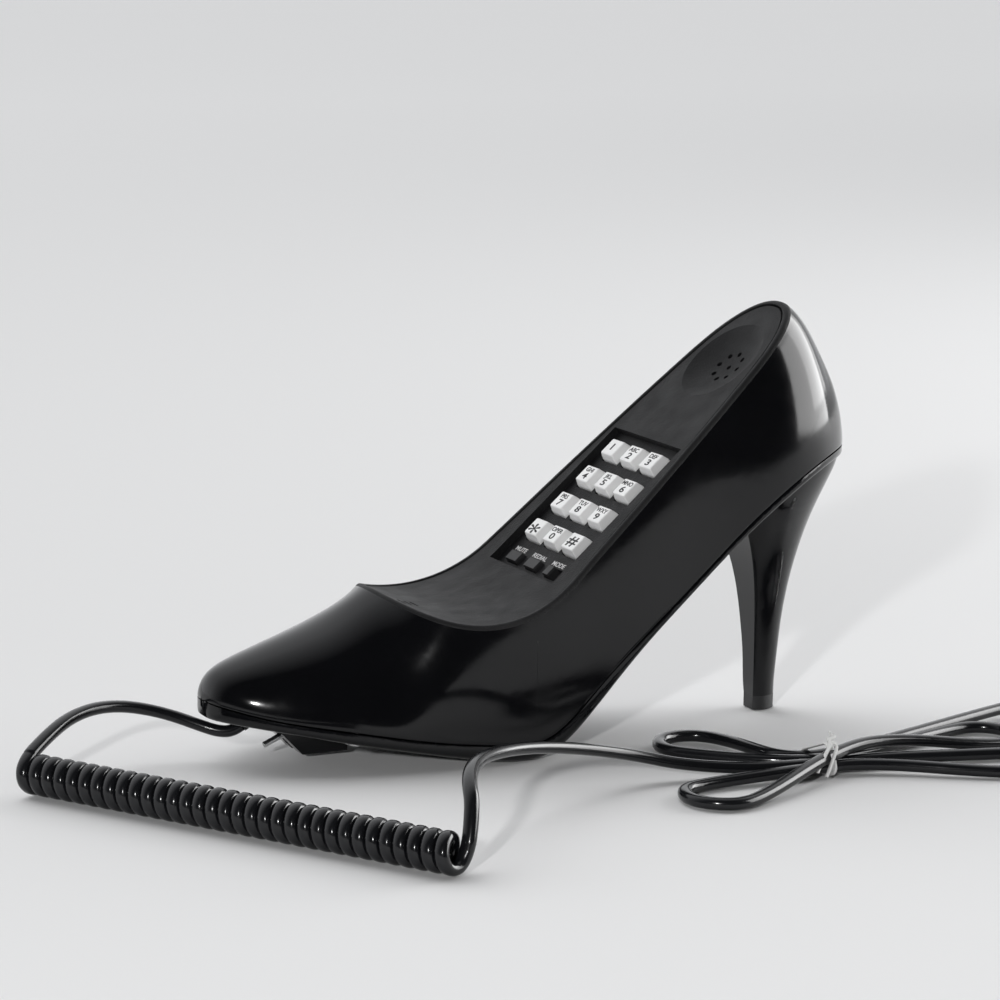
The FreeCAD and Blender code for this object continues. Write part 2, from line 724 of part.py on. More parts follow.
def make_face_plate(fitted, fitted_low):
    """Matte insole plate with keypad pan, receiver dish and cup, and microphone slots."""
    frame = panel_frame()
    depth = size("plate_thick")
    pan = recess_box(size("pan_wall"), -depth / 2, pan_underside())
    cup_low = capsule_top() - size("capsule_deep")
    cup_radius = size("capsule_radius") + size("plate_fit") + size("cup_wall")
    axis = dish_centre()
    bowl = dish_sphere(size("dish_wall")).common(Part.makeCylinder(size("dish_radius") + 1.0, 20.0, axis - Vector(0, 0, 20.0)))
    cup = Part.makeCylinder(cup_radius, -cup_low - depth, axis + Vector(0, 0, cup_low))
    cup = cup.cut(Part.makeCylinder(cup_radius - size("cup_wall"), -cup_low + capsule_top() + size("gasket_thick"), axis + Vector(0, 0, cup_low)))
    added = [pan, bowl, cup]
    for place in keypad_post_places():
        post = Part.makeCylinder(size("post_radius"), pan_underside() - board_top() + 0.5, place + Vector(0, 0, board_top()))
        bore = size("board_screw_radius") + size("screw_fit")
        added.append(post.cut(Part.makeCylinder(bore, size("board_screw_long") - size("board_thick") + 0.4, place + Vector(0, 0, board_top()))))
    removed = [recess_box(0.0, 30.0, -size("recess_depth")), dish_sphere(0.0)]
    for _, place in key_places():
        half = Vector(size("key_deep") / 2 + size("key_fit"), size("key_wide") / 2 + size("key_fit"), 0)
        removed.append(box(place - half - Vector(0, 0, 20), place + half))
    for name, y in button_places().items():
        wide = size("button_wide")
        if name == "mode_slider":
            wide = size("slider_wide") + size("slider_travel")
        half = Vector(size("button_deep") / 2 + size("key_fit"), wide / 2 + size("key_fit"), 0)
        place = Vector(button_row(), y, 0)
        removed.append(box(place - half - Vector(0, 0, 20), place + half))
    for index in range(int(size("sound_holes"))):
        turn = 2 * math.pi * index / size("sound_holes")
        place = axis + Vector(math.cos(turn), math.sin(turn), 0) * size("sound_ring_radius")
        removed.append(Part.makeCylinder(size("sound_hole_radius"), 20.0, place - Vector(0, 0, 15.0)))
    removed.append(Part.makeCylinder(size("sound_hole_radius"), 20.0, axis - Vector(0, 0, 15.0)))
    for shape in added + removed:
        shape.transformShape(frame.toMatrix())
    holder_radius = size("mic_radius") + size("boot_wall") + size("plate_fit") + size("cup_wall")
    holder_deep = size("mic_deep")
    holder = Part.makeCylinder(holder_radius, holder_deep, Vector(0, 0, -depth - holder_deep + 0.3))
    holder = holder.cut(Part.makeCylinder(holder_radius - size("cup_wall"), holder_deep, Vector(0, 0, -depth - holder_deep)))
    slots = []
    for step in (-1, 0, 1):
        x = step * size("mic_slot_pitch")
        half = Vector(size("mic_slot_wide") / 2, size("mic_slot_long") / 2, 0)
        slots.append(box(Vector(x, 0, -depth * 2) - half, Vector(x, 0, depth) + half))
    for shape in [holder] + slots:
        shape.transformShape(mic_frame().toMatrix())
    plate = panel_layer(0.0, depth).common(fitted)
    added = [shape.common(fitted_low) for shape in added + [holder]]
    plate = plate.fuse(added).cut(removed + slots)
    add("face_plate", largest(plate).removeSplitter())


def rectangle(body, name, level, wide, deep):
    """Sketch of a centred rectangle at a level, its sides bound to the sheet."""
    sketch = body.newObject("Sketcher::SketchObject", name)
    plane = [item for item in body.Origin.OriginFeatures if item.Role == "XY_Plane"][0]
    sketch.AttachmentSupport = [(plane, "")]
    sketch.MapMode = "FlatFace"
    sketch.setExpression("AttachmentOffset.Base.z", level)
    import Sketcher
    corners = [Vector(-2, -1, 0), Vector(2, -1, 0), Vector(2, 1, 0), Vector(-2, 1, 0)]
    for start, end in zip(corners, corners[1:] + corners[:1]):
        sketch.addGeometry(Part.LineSegment(start, end))
    for line in range(4):
        sketch.addConstraint(Sketcher.Constraint("Coincident", line, 2, (line + 1) % 4, 1))
    for line in (0, 2):
        sketch.addConstraint(Sketcher.Constraint("Horizontal", line))
    for line in (1, 3):
        sketch.addConstraint(Sketcher.Constraint("Vertical", line))
    sketch.addConstraint(Sketcher.Constraint("Symmetric", 0, 1, 1, 2, -1, 1))
    sketch.addConstraint(Sketcher.Constraint("Distance", 0, 4.0))
    sketch.renameConstraint(sketch.ConstraintCount - 1, "deep")
    sketch.addConstraint(Sketcher.Constraint("Distance", 1, 2.0))
    sketch.renameConstraint(sketch.ConstraintCount - 1, "wide")
    sketch.setExpression("Constraints.deep", deep)
    sketch.setExpression("Constraints.wide", wide)
    return sketch


def pad(body, name, sketch, length, taper=None):
    feature = body.newObject("PartDesign::Pad", name)
    feature.Profile = sketch
    feature.setExpression("Length", length)
    if taper:
        feature.setExpression("TaperAngle", taper)
    sketch.Visibility = False
    return feature


LIP_TOP = "-sizes.recess_depth - sizes.pan_wall - sizes.layer_gap"


def make_push(label, place, wide, deep, stand, taper):
    """Key or button: retaining lip under the pan, straight skirt, tapered cap."""
    body = doc.addObject("PartDesign::Body", label)
    lip_level = f"{LIP_TOP} - sizes.key_skirt"
    lip = rectangle(body, f"{label}_lip", lip_level, f"{wide} + 2 * sizes.key_lip", f"{deep} + 2 * sizes.key_lip")
    pad(body, f"{label}_lip_pad", lip, "sizes.key_skirt")
    skirt = rectangle(body, f"{label}_skirt", LIP_TOP, wide, deep)
    pad(body, f"{label}_skirt_pad", skirt, "sizes.layer_gap + sizes.pan_wall + sizes.key_skirt")
    cap = rectangle(body, f"{label}_cap", f"{LIP_TOP} + sizes.layer_gap + sizes.pan_wall + sizes.key_skirt", wide, deep)
    pad(body, f"{label}_cap_pad", cap, f"{stand} - sizes.key_skirt", taper)
    keep(body, label, panel_frame().multiply(FreeCAD.Placement(place, FreeCAD.Rotation())))


def make_keys():
    for label, place in key_places():
        make_push(label, place, "sizes.key_wide", "sizes.key_deep", "sizes.key_stand", "-sizes.key_taper")


def make_buttons():
    for label in ("mute_button", "redial_button"):
        place = Vector(button_row(), button_places()[label], 0)
        make_push(label, place, "sizes.button_wide", "sizes.button_deep", "sizes.button_stand", "-sizes.key_taper")
    offset = size("slider_travel") / 2
    place = Vector(button_row(), button_places()["mode_slider"] + offset, 0)
    make_push("mode_slider", place, "sizes.slider_wide", "sizes.button_deep", "sizes.button_stand", "-sizes.key_taper")


def make_keypad_mat():
    """Rubber mat with a low dome below each key."""
    margin = 1.4
    half = Vector(1.5 * size("key_pitch_along") + size("key_deep") / 2, size("key_pitch_across") + size("key_wide") / 2, 0)
    half = half + Vector(-margin, margin, 0)
    mat = box(Vector(-half.x, -half.y, board_top()), Vector(half.x, half.y, mat_top()))
    domes = [Part.makeCone(size("dome_radius"), size("dome_radius") - 0.6, size("dome_height"), place + Vector(0, 0, mat_top())) for _, place in key_places()]
    add("keypad_mat", mat.fuse(domes).removeSplitter(), panel_frame())


def board_screw(place, seat):
    """Small screw, head under the seat and shank upwards."""
    head_high = 1.4
    low = Vector(place.x, place.y, seat)
    head = Part.makeCylinder(size("board_screw_head"), head_high, low - Vector(0, 0, head_high))
    return head.fuse(Part.makeCylinder(size("board_screw_radius"), size("board_screw_long"), low)).removeSplitter()


def make_keypad_board():
    """Circuit board on the pan's posts, its screws, and the switches of the button row."""
    bound = recess_box(0.0, 0.0, -1.0).BoundBox
    top, low = board_top(), board_top() - size("board_thick")
    board = box(Vector(bound.XMin, bound.YMin, low), Vector(bound.XMax + size("post_radius"), bound.YMax, top))
    clear = size("board_screw_radius") + size("screw_fit") * 2
    holes = [Part.makeCylinder(clear, 8.0, place + Vector(0, 0, low - 2.0)) for place in keypad_post_places()]
    add("keypad_board", board.cut(holes), panel_frame())
    screws = [board_screw(place, low) for place in keypad_post_places()]
    add("keypad_screws", Part.makeCompound(screws), panel_frame())
    side = size("switch_side") / 2
    lip = pan_underside() - size("layer_gap") - size("key_skirt")
    high = lip - size("button_travel") - size("layer_gap")
    bodies = []
    for name, y in button_places().items():
        reach = side + (size("slider_travel") / 2 if name == "mode_slider" else 0.0)
        bodies.append(box(Vector(button_row() - side, y - reach, top), Vector(button_row() + side, y + reach, high)))
    add("button_switches", Part.makeCompound(bodies), panel_frame())


def make_receiver():
    """Earpiece capsule in its cup, on a foam ring."""
    frame = panel_frame()
    axis = dish_centre()
    gasket_low = capsule_top()
    gasket = Part.makeCylinder(size("capsule_radius"), size("gasket_thick"), axis + Vector(0, 0, gasket_low))
    gasket = gasket.cut(Part.makeCylinder(size("capsule_radius") - 4.0, size("gasket_thick"), axis + Vector(0, 0, gasket_low)))
    add("receiver_gasket", gasket, frame)
    can = doc.addObject("Part::Cylinder", "receiver_can")
    bind(can, Radius="sizes.capsule_radius", Height="sizes.capsule_deep")
    magnet = doc.addObject("Part::Cylinder", "receiver_magnet")
    bind(magnet, Radius="sizes.capsule_radius * 0.55", Height="3")
    magnet.Placement = FreeCAD.Placement(Vector(0, 0, -3.0), FreeCAD.Rotation())
    capsule = doc.addObject("Part::MultiFuse", "receiver_capsule")
    capsule.Shapes = [can, magnet]
    low = axis + Vector(0, 0, capsule_top() - size("capsule_deep"))
    keep(capsule, "receiver_capsule", frame.multiply(FreeCAD.Placement(low, FreeCAD.Rotation())))


def make_microphone():
    """Microphone insert in its rubber boot behind the slots."""
    frame = mic_frame()
    seat = -size("plate_thick")
    deep = size("mic_deep") + size("boot_wall") / 2
    boot = Part.makeCylinder(size("mic_radius") + size("boot_wall"), deep, Vector(0, 0, seat - deep - 0.8))
    boot = boot.cut(Part.makeCylinder(size("mic_radius") + 0.02, deep, Vector(0, 0, seat - deep - 0.8)))
    add("microphone_boot", boot, frame)
    insert = doc.addObject("Part::Cylinder", "microphone_insert")
    bind(insert, Radius="sizes.mic_radius", Height="sizes.mic_deep")
    place = FreeCAD.Placement(Vector(0, 0, seat - deep - 0.8), FreeCAD.Rotation())
    keep(insert, "microphone_insert", frame.multiply(place))


# Works in the sole


def make_main_board():
    """Circuit board on the sole's posts with its parts and screws."""
    first = station(size("main_board_from_toe"))
    half = size("main_board_half")
    low = size("main_board_height")
    top = low + size("board_thick")
    board = box(Vector(first, -half, low), Vector(first + size("main_board_long"), half, top))
    clear = size("board_screw_radius") + size("screw_fit") * 2
    holes = [Part.makeCylinder(clear, 8.0, place - Vector(0, 0, 2.0)) for place in board_post_places()]
    add("main_board", board.cut(holes))
    screws = []
    for place in board_post_places():
        screw = board_screw(Vector(0, 0, 0), 0.0)
        screw.rotate(Vector(0, 0, 0), Vector(1, 0, 0), 180)
        screw.translate(Vector(place.x, place.y, top))
        screws.append(screw)
    add("board_screws", Part.makeCompound(screws))
    ringer = doc.addObject("Part::Cylinder", "ringer_case")
    bind(ringer, Radius="sizes.ringer_radius", Height="sizes.ringer_deep")
    port = doc.addObject("Part::Cylinder", "ringer_port")
    bind(port, Radius="sizes.ringer_radius * 0.12", Height="sizes.ringer_deep")
    port.Placement = FreeCAD.Placement(Vector(0, 0, 3.0), FreeCAD.Rotation())
    cut = doc.addObject("Part::Cut", "ringer")
    cut.Base = ringer
    cut.Tool = port
    middle = Vector(first + size("ringer_radius") + 8.0, 0, top)
    keep(cut, "ringer", FreeCAD.Placement(middle, FreeCAD.Rotation()))
    start = first + 2 * size("ringer_radius") + 10.0
    pieces = [
        box(Vector(start, -14.0, top), Vector(start + 7.6, 5.0, top + 3.6)),
        Part.makeCylinder(4.0, 11.0, Vector(start + 4.0, 12.0, top)),
        Part.makeCylinder(2.6, 8.0, Vector(start + 11.0, -10.0, top)),
        Part.makeCylinder(2.6, 8.0, Vector(start + 11.0, -4.0, top)),
        box(Vector(start - 9.0, 15.0, top), Vector(start - 1.0, 21.0, top + 6.0)),
    ]
    add("board_components", Part.makeCompound(pieces))


def make_hook_lever():
    """Bright rod lever, its pivot pin, and the switch that it works."""
    pivot = hook_pivot()
    half = size("hook_hub_wide") / 2
    droop = math.radians(size("hook_rod_droop"))
    rise = math.radians(size("hook_arm_rise"))
    rod_way = Vector(-math.cos(droop), 0, -math.sin(droop))
    arm_way = Vector(math.cos(rise), 0, math.sin(rise))
    hub = rod(pivot - Vector(0, half, 0), pivot + Vector(0, half, 0), size("hook_hub_radius"))
    bar = rod(pivot, pivot + rod_way * size("hook_rod_long"), size("hook_rod_radius"))
    tip = Part.makeSphere(size("hook_rod_radius") * 0.62, pivot + rod_way * size("hook_rod_long"))
    bar = bar.cut(tip)
    arm = rod(pivot, pivot + arm_way * size("hook_arm_long"), size("hook_rod_radius") * 0.8)
    bore = size("hook_pin_radius") + size("hook_pin_fit")
    hole = rod(pivot - Vector(0, 9, 0), pivot + Vector(0, 9, 0), bore)
    add("hook_lever", hub.fuse([bar, arm]).cut(hole).removeSplitter())
    pin = doc.addObject("Part::Cylinder", "hook_pivot_pin")
    bind(pin, Radius="sizes.hook_pin_radius", Height="sizes.hook_pin_long")
    turn = FreeCAD.Rotation(Vector(1, 0, 0), -90)
    keep(pin, "hook_pivot_pin", FreeCAD.Placement(pivot - Vector(0, size("hook_pin_long") / 2, 0), turn))
    low, high = switch_seat()
    front = pivot.x + 8.0
    case = box(Vector(front, low.y, high.z), Vector(high.x, high.y, high.z + 7.0))
    plunger = Part.makeCylinder(0.8, 1.2, Vector(front + 2.5, 0, high.z + 7.0))
    add("hook_switch", case.fuse(plunger).removeSplitter())


# Free cord


def arc_through(start, tangent, end):
    """Arc that leaves start along a tangent and ends at a point, or a line."""
    chord = end - start
    away = chord - tangent * chord.dot(tangent)
    if away.Length < 1e-6 * chord.Length:
        return Part.LineSegment(start, end).toShape()
    side = away.normalize()
    radius = chord.dot(chord) / (2 * chord.dot(side))
    centre = start + side * radius
    middle = (start + end) / 2 - centre
    if chord.dot(tangent) < 0:
        middle = middle * -1
    return Part.Arc(start, centre + middle.normalize() * radius, end).toShape()


def biarc(start, tangent, end, last_tangent):
    """Two arcs that join two points along given tangents."""
    chord = end - start
    both = tangent + last_tangent
    spread = 2 * (1 - tangent.dot(last_tangent))
    if spread < 1e-9:
        reach = chord.dot(chord) / (4 * chord.dot(last_tangent))
    else:
        lean = chord.dot(both)
        reach = (-lean + math.sqrt(lean * lean + spread * chord.dot(chord))) / spread
    joint = (start + tangent * reach + end - last_tangent * reach) / 2
    way = end - last_tangent * reach - joint
    if way.Length < 1e-9:
        return [Part.LineSegment(start, end).toShape()]
    return [arc_through(start, tangent, joint), arc_through(joint, way.normalize(), end)]


def wound_path(stops):
    """Edges of a wound cord through stops of point and tangent."""
    edges = []
    for (start, tangent), (end, last_tangent) in zip(stops, stops[1:]):
        edges += biarc(start, tangent, end, last_tangent)
    return edges


def rounded_path(points, name):
    """Edges of straight runs joined by tangent arcs as large as the runs allow."""
    edges, radii = [], []
    here = points[0]
    for before, corner, after in zip(points, points[1:], points[2:]):
        back, on = (before - corner).normalize(), (after - corner).normalize()
        turn = math.pi - back.getAngle(on)
        cut = 0.45 * min((before - corner).Length, (after - corner).Length)
        radius = cut / math.tan(turn / 2)
        radii.append(radius)
        start, end = corner + back * cut, corner + on * cut
        centre = corner + (back + on).normalize() * radius / math.cos(turn / 2)
        middle = centre + (corner - centre).normalize() * radius
        edges.append(Part.LineSegment(here, start).toShape())
        edges.append(Part.Arc(start, middle, end).toShape())
        here = end
    edges.append(Part.LineSegment(here, points[-1]).toShape())
    print(name, "radii", [round(radius, 1) for radius in radii])
    return edges


def tube(edges, name):
    """Cord along a path, its volume compared with section times length."""
    path = Part.Wire(edges)
    start = edges[0].valueAt(edges[0].FirstParameter)
    way = edges[0].tangentAt(edges[0].FirstParameter)
    ring = Part.Wire(Part.makeCircle(size("cord_dia") / 2, start, way))
    solid = path.makePipeShell([ring], True, False)
    solid = Part.Solid(solid.Shells[0]) if not solid.Solids else solid.Solids[0]
    expected = math.pi * (size("cord_dia") / 2) ** 2 * path.Length
    print(name, "length", round(path.Length, 1), "volume ratio", round(solid.Volume / expected, 4))
    return solid


def report_gap(edges, name):
    """Print the least gap of a wound cord to itself, measured on points."""
    points, places, run = [], [], 0.0
    for edge in edges:
        count = max(4, int(edge.Length / 0.8))
        first, last = edge.FirstParameter, edge.LastParameter
        for step in range(count):
            points.append(edge.valueAt(first + (last - first) * step / count))
            places.append(run + edge.Length * step / count)
        run += edge.Length
    apart = 3.2 * size("cord_dia")
    least = REACH
    for index, point in enumerate(points):
        for other in range(index + 1, len(points)):
            if places[other] - places[index] > apart:
                distance = (points[other] - point).Length
                if distance < least:
                    least = distance
    print(name, "least gap to itself", round(least - size("cord_dia"), 2))


def gland_axis():
    """Inner and outer end of the cord's gland under the toe."""
    dip = math.radians(size("gland_dip"))
    outer = Vector(station(14.5), 0, height_at("under", station(14.5)) - 2.0)
    return outer + Vector(math.cos(dip), 0, math.sin(dip)) * size("gland_long"), outer


def gland_radius():
    return size("cord_dia") / 2 + size("gland_wall")


def make_gland():
    """Tapered rubber gland through the sole."""
    inner, outer = gland_axis()
    way = outer - inner
    sleeve = Part.makeCone(gland_radius(), gland_radius() - size("gland_taper"), way.Length, inner, way)
    add("cord_gland", sleeve)


def coil_stops():
    """Stops along the curly cord, a quarter turn apart."""
    lift = Vector(0, 0, size("coil_radius") + size("cord_dia") / 2 + 0.05)
    start, end = COIL_START + lift, COIL_END + lift
    axis = (end - start).normalize()
    side = Vector(axis.y, -axis.x, 0)
    first = math.radians(COIL_ENTRY_ANGLE)
    last = 2 * math.pi * size("coil_turns") + math.radians(COIL_EXIT_ANGLE)
    count = int(round((last - first) / (math.pi / 2)))
    climb = (end - start).Length / (last - first)
    stops = []
    for step in range(count + 1):
        turn = first + (last - first) * step / count
        out = Vector(0, 0, math.cos(turn)) + side * math.sin(turn)
        onward = Vector(0, 0, -math.sin(turn)) + side * math.cos(turn)
        point = start + axis * climb * (turn - first) + out * size("coil_radius")
        stops.append((point, (onward * size("coil_radius") + axis * climb).normalize()))
    return stops


def straight_ends(stops):
    """Stops with a straight run of one cord diameter before and after."""
    run = size("cord_dia")
    first, first_way = stops[0]
    last, last_way = stops[-1]
    return [(first - first_way * run, first_way)] + stops + [(last + last_way * run, last_way)]


def strand(row, layer):
    """Place of a strand at the tie: row across, layer up."""
    low = size("cord_dia") / 2 + size("hank_lift")
    return Vector(WAIST.x, WAIST.y - row * STRAND_STEP, low + layer * STRAND_STEP)


def fold(place, side):
    """Stops round an end fold: in, round and out; side tells which way it turns."""
    centre, radius, heading = place
    level = Vector(0, 0, size("cord_dia") / 2 + 0.05)
    way = Vector(math.cos(math.radians(heading)), math.sin(math.radians(heading)), 0)
    left = Vector(-way.y, way.x, 0) * side
    middle = centre + level
    return [(middle + left * radius, way), (middle + way * radius, left * -1), (middle - left * radius, way * -1)]


def hank_stops():
    """Stops of the folded line cord, through the tie and round each fold."""
    right, left = Vector(1, 0, 0), Vector(-1, 0, 0)
    half = Vector(WAIST_RUN / 2, 0, 0)
    low = Vector(0, 0, size("cord_dia") / 2)
    stops = [(HANK_ENTRY + low + Vector(0, 0, size("hank_lift")), Vector(0.97, -0.24, 0).normalize())]
    stops += [(strand(0.5, 0) - half, right), (strand(0.5, 0) + half, right)]
    stops += fold(FOLD_RIGHT_NEAR, 1)
    stops += [(strand(1.5, 0) + half, left), (strand(1.5, 0) - half, left)]
    stops += fold(FOLD_LEFT_NEAR, -1)
    over = Vector(0.86, 0.51, 0).normalize()
    stops += [(strand(1.1, 1), over)]
    stops += [(strand(-0.6, 1) + Vector(26.0, -1.0, 0), Vector(0.97, 0.24, -0.04).normalize())]
    stops += fold(FOLD_RIGHT_FAR, -1)
    stops += [(strand(-0.5, 0) + half, left), (strand(-0.5, 0) - half, left)]
    stops += fold(FOLD_LEFT_FAR, 1)
    stops += [(strand(-1.5, 0) - half, right), (strand(-1.5, 0) + half, right)]
    stops += [(PLUG_FACE + Vector(-size("cord_dia"), 0, plug_axis()), right)]
    return stops


def plug_axis():
    return size("plug_high") / 2


def make_cords():
    """Tail, curly cord, lead and hank, end to end."""
    _, outer = gland_axis()
    coil = straight_ends(coil_stops())
    entry, entry_way = coil[0]
    leave, leave_way = coil[-1]
    run = 4.6
    tail = [outer] + [Vector(*point) for point in TAIL_ROUTE] + [entry - entry_way * run, entry]
    add("cord_tail", tube(rounded_path(tail, "cord_tail"), "cord_tail"))
    edges = wound_path(coil)
    report_gap(edges, "curly_cord")
    add("curly_cord", tube(edges, "curly_cord"))
    hank = straight_ends(hank_stops())
    hank_entry, hank_way = hank[0]
    lead = [leave, leave + leave_way * run] + [Vector(*point) for point in LEAD_ROUTE]
    lead += [hank_entry - hank_way * 2 * run, hank_entry]
    add("cord_lead", tube(rounded_path(lead, "cord_lead"), "cord_lead"))
    edges = wound_path(hank)
    report_gap(edges, "line_hank")
    add("line_hank", tube(edges, "line_hank"))


def make_tie():
    """Twisted tie round the hank's waist, with its two tails."""
    fit, thick = size("tie_fit"), size("tie_thick")
    radius = size("cord_dia") / 2
    low = strand(1.5, 0) - Vector(size("tie_wide") / 2, radius + fit, radius + fit)
    high = strand(-1.5, 1) + Vector(size("tie_wide") / 2, radius + fit, radius + fit)
    skin = Vector(0, thick, thick)
    band = box(low - skin, high + skin).cut(box(low - Vector(1, 0, 0), high + Vector(1, 0, 0)))
    knot = Vector((low.x + high.x) / 2, strand(0.3, 0).y, high.z + thick)
    tails = [rod(knot, knot + way, 0.9) for way in (Vector(-4.0, -9.0, 1.2), Vector(-7.0, -5.0, 2.6))]
    add("hank_tie", band.fuse(tails).removeSplitter())


def make_plug():
    """Modular line plug with its latch, and its contacts."""
    face = PLUG_FACE
    half = size("plug_wide") / 2
    body = box(face + Vector(0, -half, 0.05), face + Vector(size("plug_long"), half, size("plug_high")))
    latch = box(face + Vector(-1.0, -1.6, size("plug_high") + 0.6), face + Vector(size("plug_long") - 2.0, 1.6, size("plug_high") + 1.8))
    root = box(face + Vector(size("plug_long") - 4.0, -1.6, size("plug_high") - 0.2), face + Vector(size("plug_long") - 2.0, 1.6, size("plug_high") + 1.8))
    grooves, contacts = [], []
    for step in (-1.5, -0.5, 0.5, 1.5):
        middle = face + Vector(size("plug_long"), step * 1.02, 0)
        grooves.append(box(middle + Vector(-4.0, -0.25, -1.0), middle + Vector(1.0, 0.25, 2.0)))
        contacts.append(box(middle + Vector(-3.9, -0.24, 0.5), middle + Vector(-0.2, 0.24, 2.0)))
    add("modular_plug", body.fuse([latch, root]).cut(grooves).removeSplitter())
    add("plug_contacts", Part.makeCompound(contacts))


def main():
    fill_sheet()
    wall = size("shell_wall")
    outer = arch_solid(0.0, 0)
    make_upper_shell(outer, arch_solid(wall, 1), arch_solid(wall + size("ledge_width"), 1))
    make_sole_shell()
    fit = size("plate_fit")
    make_face_plate(arch_solid(wall + fit, 1), arch_solid(wall + size("ledge_width") + fit, 1))
    make_heel_tip()
    make_case_screws()
    make_keys()
    make_buttons()
    make_keypad_mat()
    make_keypad_board()
    make_receiver()
    make_microphone()
    make_main_board()
    make_hook_lever()
    make_gland()
    make_cords()
    make_tie()
    make_plug()
    doc.recompute()
    for item in doc.Objects:
        if "Invalid" in item.State or "Error" in item.State:
            raise RuntimeError(f"{item.Label} failed: {item.State}")
    for item in sub_parts:
        if item.Shape.isNull() or not item.Shape.isValid():
            raise RuntimeError(f"{item.Label} has no valid shape")
    os.makedirs("parts", exist_ok=True)
    for item in sub_parts:
        item.Shape.exportStep(f"parts/{item.Label}.step")
        print(item.Label, len(item.Shape.Solids), round(item.Shape.Volume, 1))


main()
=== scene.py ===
"""Looks of the shoe telephone: upper, keys, printing, cord, tie, finishes, floor, light and camera."""

import math

import bmesh
import bpy
import numpy as np
from mathutils import Matrix, Vector


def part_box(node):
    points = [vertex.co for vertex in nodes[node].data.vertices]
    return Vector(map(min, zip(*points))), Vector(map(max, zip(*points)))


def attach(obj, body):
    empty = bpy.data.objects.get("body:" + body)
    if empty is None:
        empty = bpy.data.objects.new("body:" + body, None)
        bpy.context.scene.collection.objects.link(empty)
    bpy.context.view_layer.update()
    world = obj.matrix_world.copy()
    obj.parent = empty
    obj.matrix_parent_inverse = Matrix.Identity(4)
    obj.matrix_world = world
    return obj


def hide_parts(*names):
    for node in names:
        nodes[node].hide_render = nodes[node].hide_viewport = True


MM = 0.001

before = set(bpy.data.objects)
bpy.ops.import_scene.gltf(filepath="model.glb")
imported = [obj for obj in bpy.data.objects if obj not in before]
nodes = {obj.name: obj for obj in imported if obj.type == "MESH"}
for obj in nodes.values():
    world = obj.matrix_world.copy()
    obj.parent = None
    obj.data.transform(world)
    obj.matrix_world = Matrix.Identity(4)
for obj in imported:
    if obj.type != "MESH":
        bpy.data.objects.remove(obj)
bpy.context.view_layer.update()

# Shoe upper and the sole's nose, in millimetres, with places along the shoe counted from the toe

SHOE_LENGTH = 246.5
UPPER_END = SHOE_LENGTH * 1.001
END_CLEARANCE = 0.02
SEAM_LIFT = 0.2
SECTIONS = (
    # share of length, half width, seam height, crest height, power of the arch
    (0.0, 0.4, 22.7, 23.6, 2.0),
    (0.003, 5.0, 22.6, 26.4, 2.0),
    (0.012, 9.5, 22.0, 30.6, 2.0),
    (0.032, 15.0, 20.8, 34.0, 2.0),
    (0.065, 20.5, 18.8, 37.2, 1.95),
    (0.114, 26.5, 16.6, 41.3, 1.9),
    (0.178, 31.8, 14.0, 47.2, 1.9),
    (0.243, 35.6, 11.2, 56.0, 1.9),
    (0.308, 38.0, 8.7, 66.5, 2.9),
    (0.381, 39.0, 6.6, 76.0, 4.1),
    (0.454, 38.2, 7.2, 88.0, 4.1),
    (0.527, 35.8, 20.2, 99.5, 4.1),
    (0.609, 33.3, 37.6, 112.5, 4.3),
    (0.698, 30.4, 55.0, 127.0, 4.2),
    (0.779, 29.0, 72.0, 140.5, 3.2),
    (0.844, 28.4, 84.2, 148.5, 2.6),
    (0.897, 25.6, 91.6, 147.6, 2.2),
    (0.941, 19.6, 95.0, 134.5, 2.0),
    (0.974, 12.0, 95.8, 120.5, 2.0),
    (0.992, 6.2, 95.8, 109.0, 2.0),
    (1.0, 2.6, 95.9, 101.0, 2.0),
    (1.001, 0.4, 96.0, 97.4, 2.0),
)
VALLEY_CENTRE = (89.0, 98.1)
VALLEY_RADIUS = 50.0
PANEL_ANGLE = math.radians(41.8)
PANEL_START = VALLEY_CENTRE[0] + VALLEY_RADIUS * math.sin(PANEL_ANGLE)
PANEL_LOW = VALLEY_CENTRE[1] - VALLEY_RADIUS * math.cos(PANEL_ANGLE)
THROAT_SEARCH = (50.0, 75.0)
BACK_SEARCH = (205.0, 228.0)
OPENING_MIDDLE = 140.0
TOE_COLUMNS = 90
RIM_COLUMNS = 168
BACK_COLUMNS = 60
SIDE_ROWS = 44
TABLE_PLACES = 4000
ARCH_PLACES = 400
HALVINGS = 50
LEAST_HALF_WIDTH = 0.3
LEAST_RISE = 0.5
NORMAL_STEP = 0.05
OFF_MIDDLE = 0.02
WELD_DISTANCE = 0.004
EDGE_ROUND = 0.4
EDGE_TURN_IN = 2.2
# The most that the edge takes of a column's length and of its foot, and the cut of its corner
EDGE_ROUND_SHARE = 0.1
EDGE_TURN_SHARE = 0.4
EDGE_CUT_SHARE = 0.3
RIM_SETBACK = 1.3
RIM_RISE = 0.35
RIM_WIDTH = 2.1
RIM_DEPTH = 2.6
RIM_EDGE_ROUND = 0.25
RIM_EDGE_MIDDLE = 0.07
LIP_SHARES = (0.2, 0.4, 0.6, 0.8, 1.0)
# Share of length and height of the sole's underside at its nose
SOLE_NOSE = ((0.0, 20.5), (0.003, 17.2), (0.012, 16.5))
SOLE_NOSE_REACH = 2.9
SOLE_NOSE_PROUD = 0.05
SOLE_NOSE_COLUMNS = 24
SOLE_NOSE_ROWS = 13
SOLE_POWER = 2.0 / 6.0
MOULD_LINE_PLACE = 107.0
MOULD_LINE_ANGLES = (9.0, 43.0)
MOULD_LINE_STEPS = 60
MOULD_LINE_SECTION = (0.22, 0.10, 8, 2.0)

# Keypad panel, in millimetres

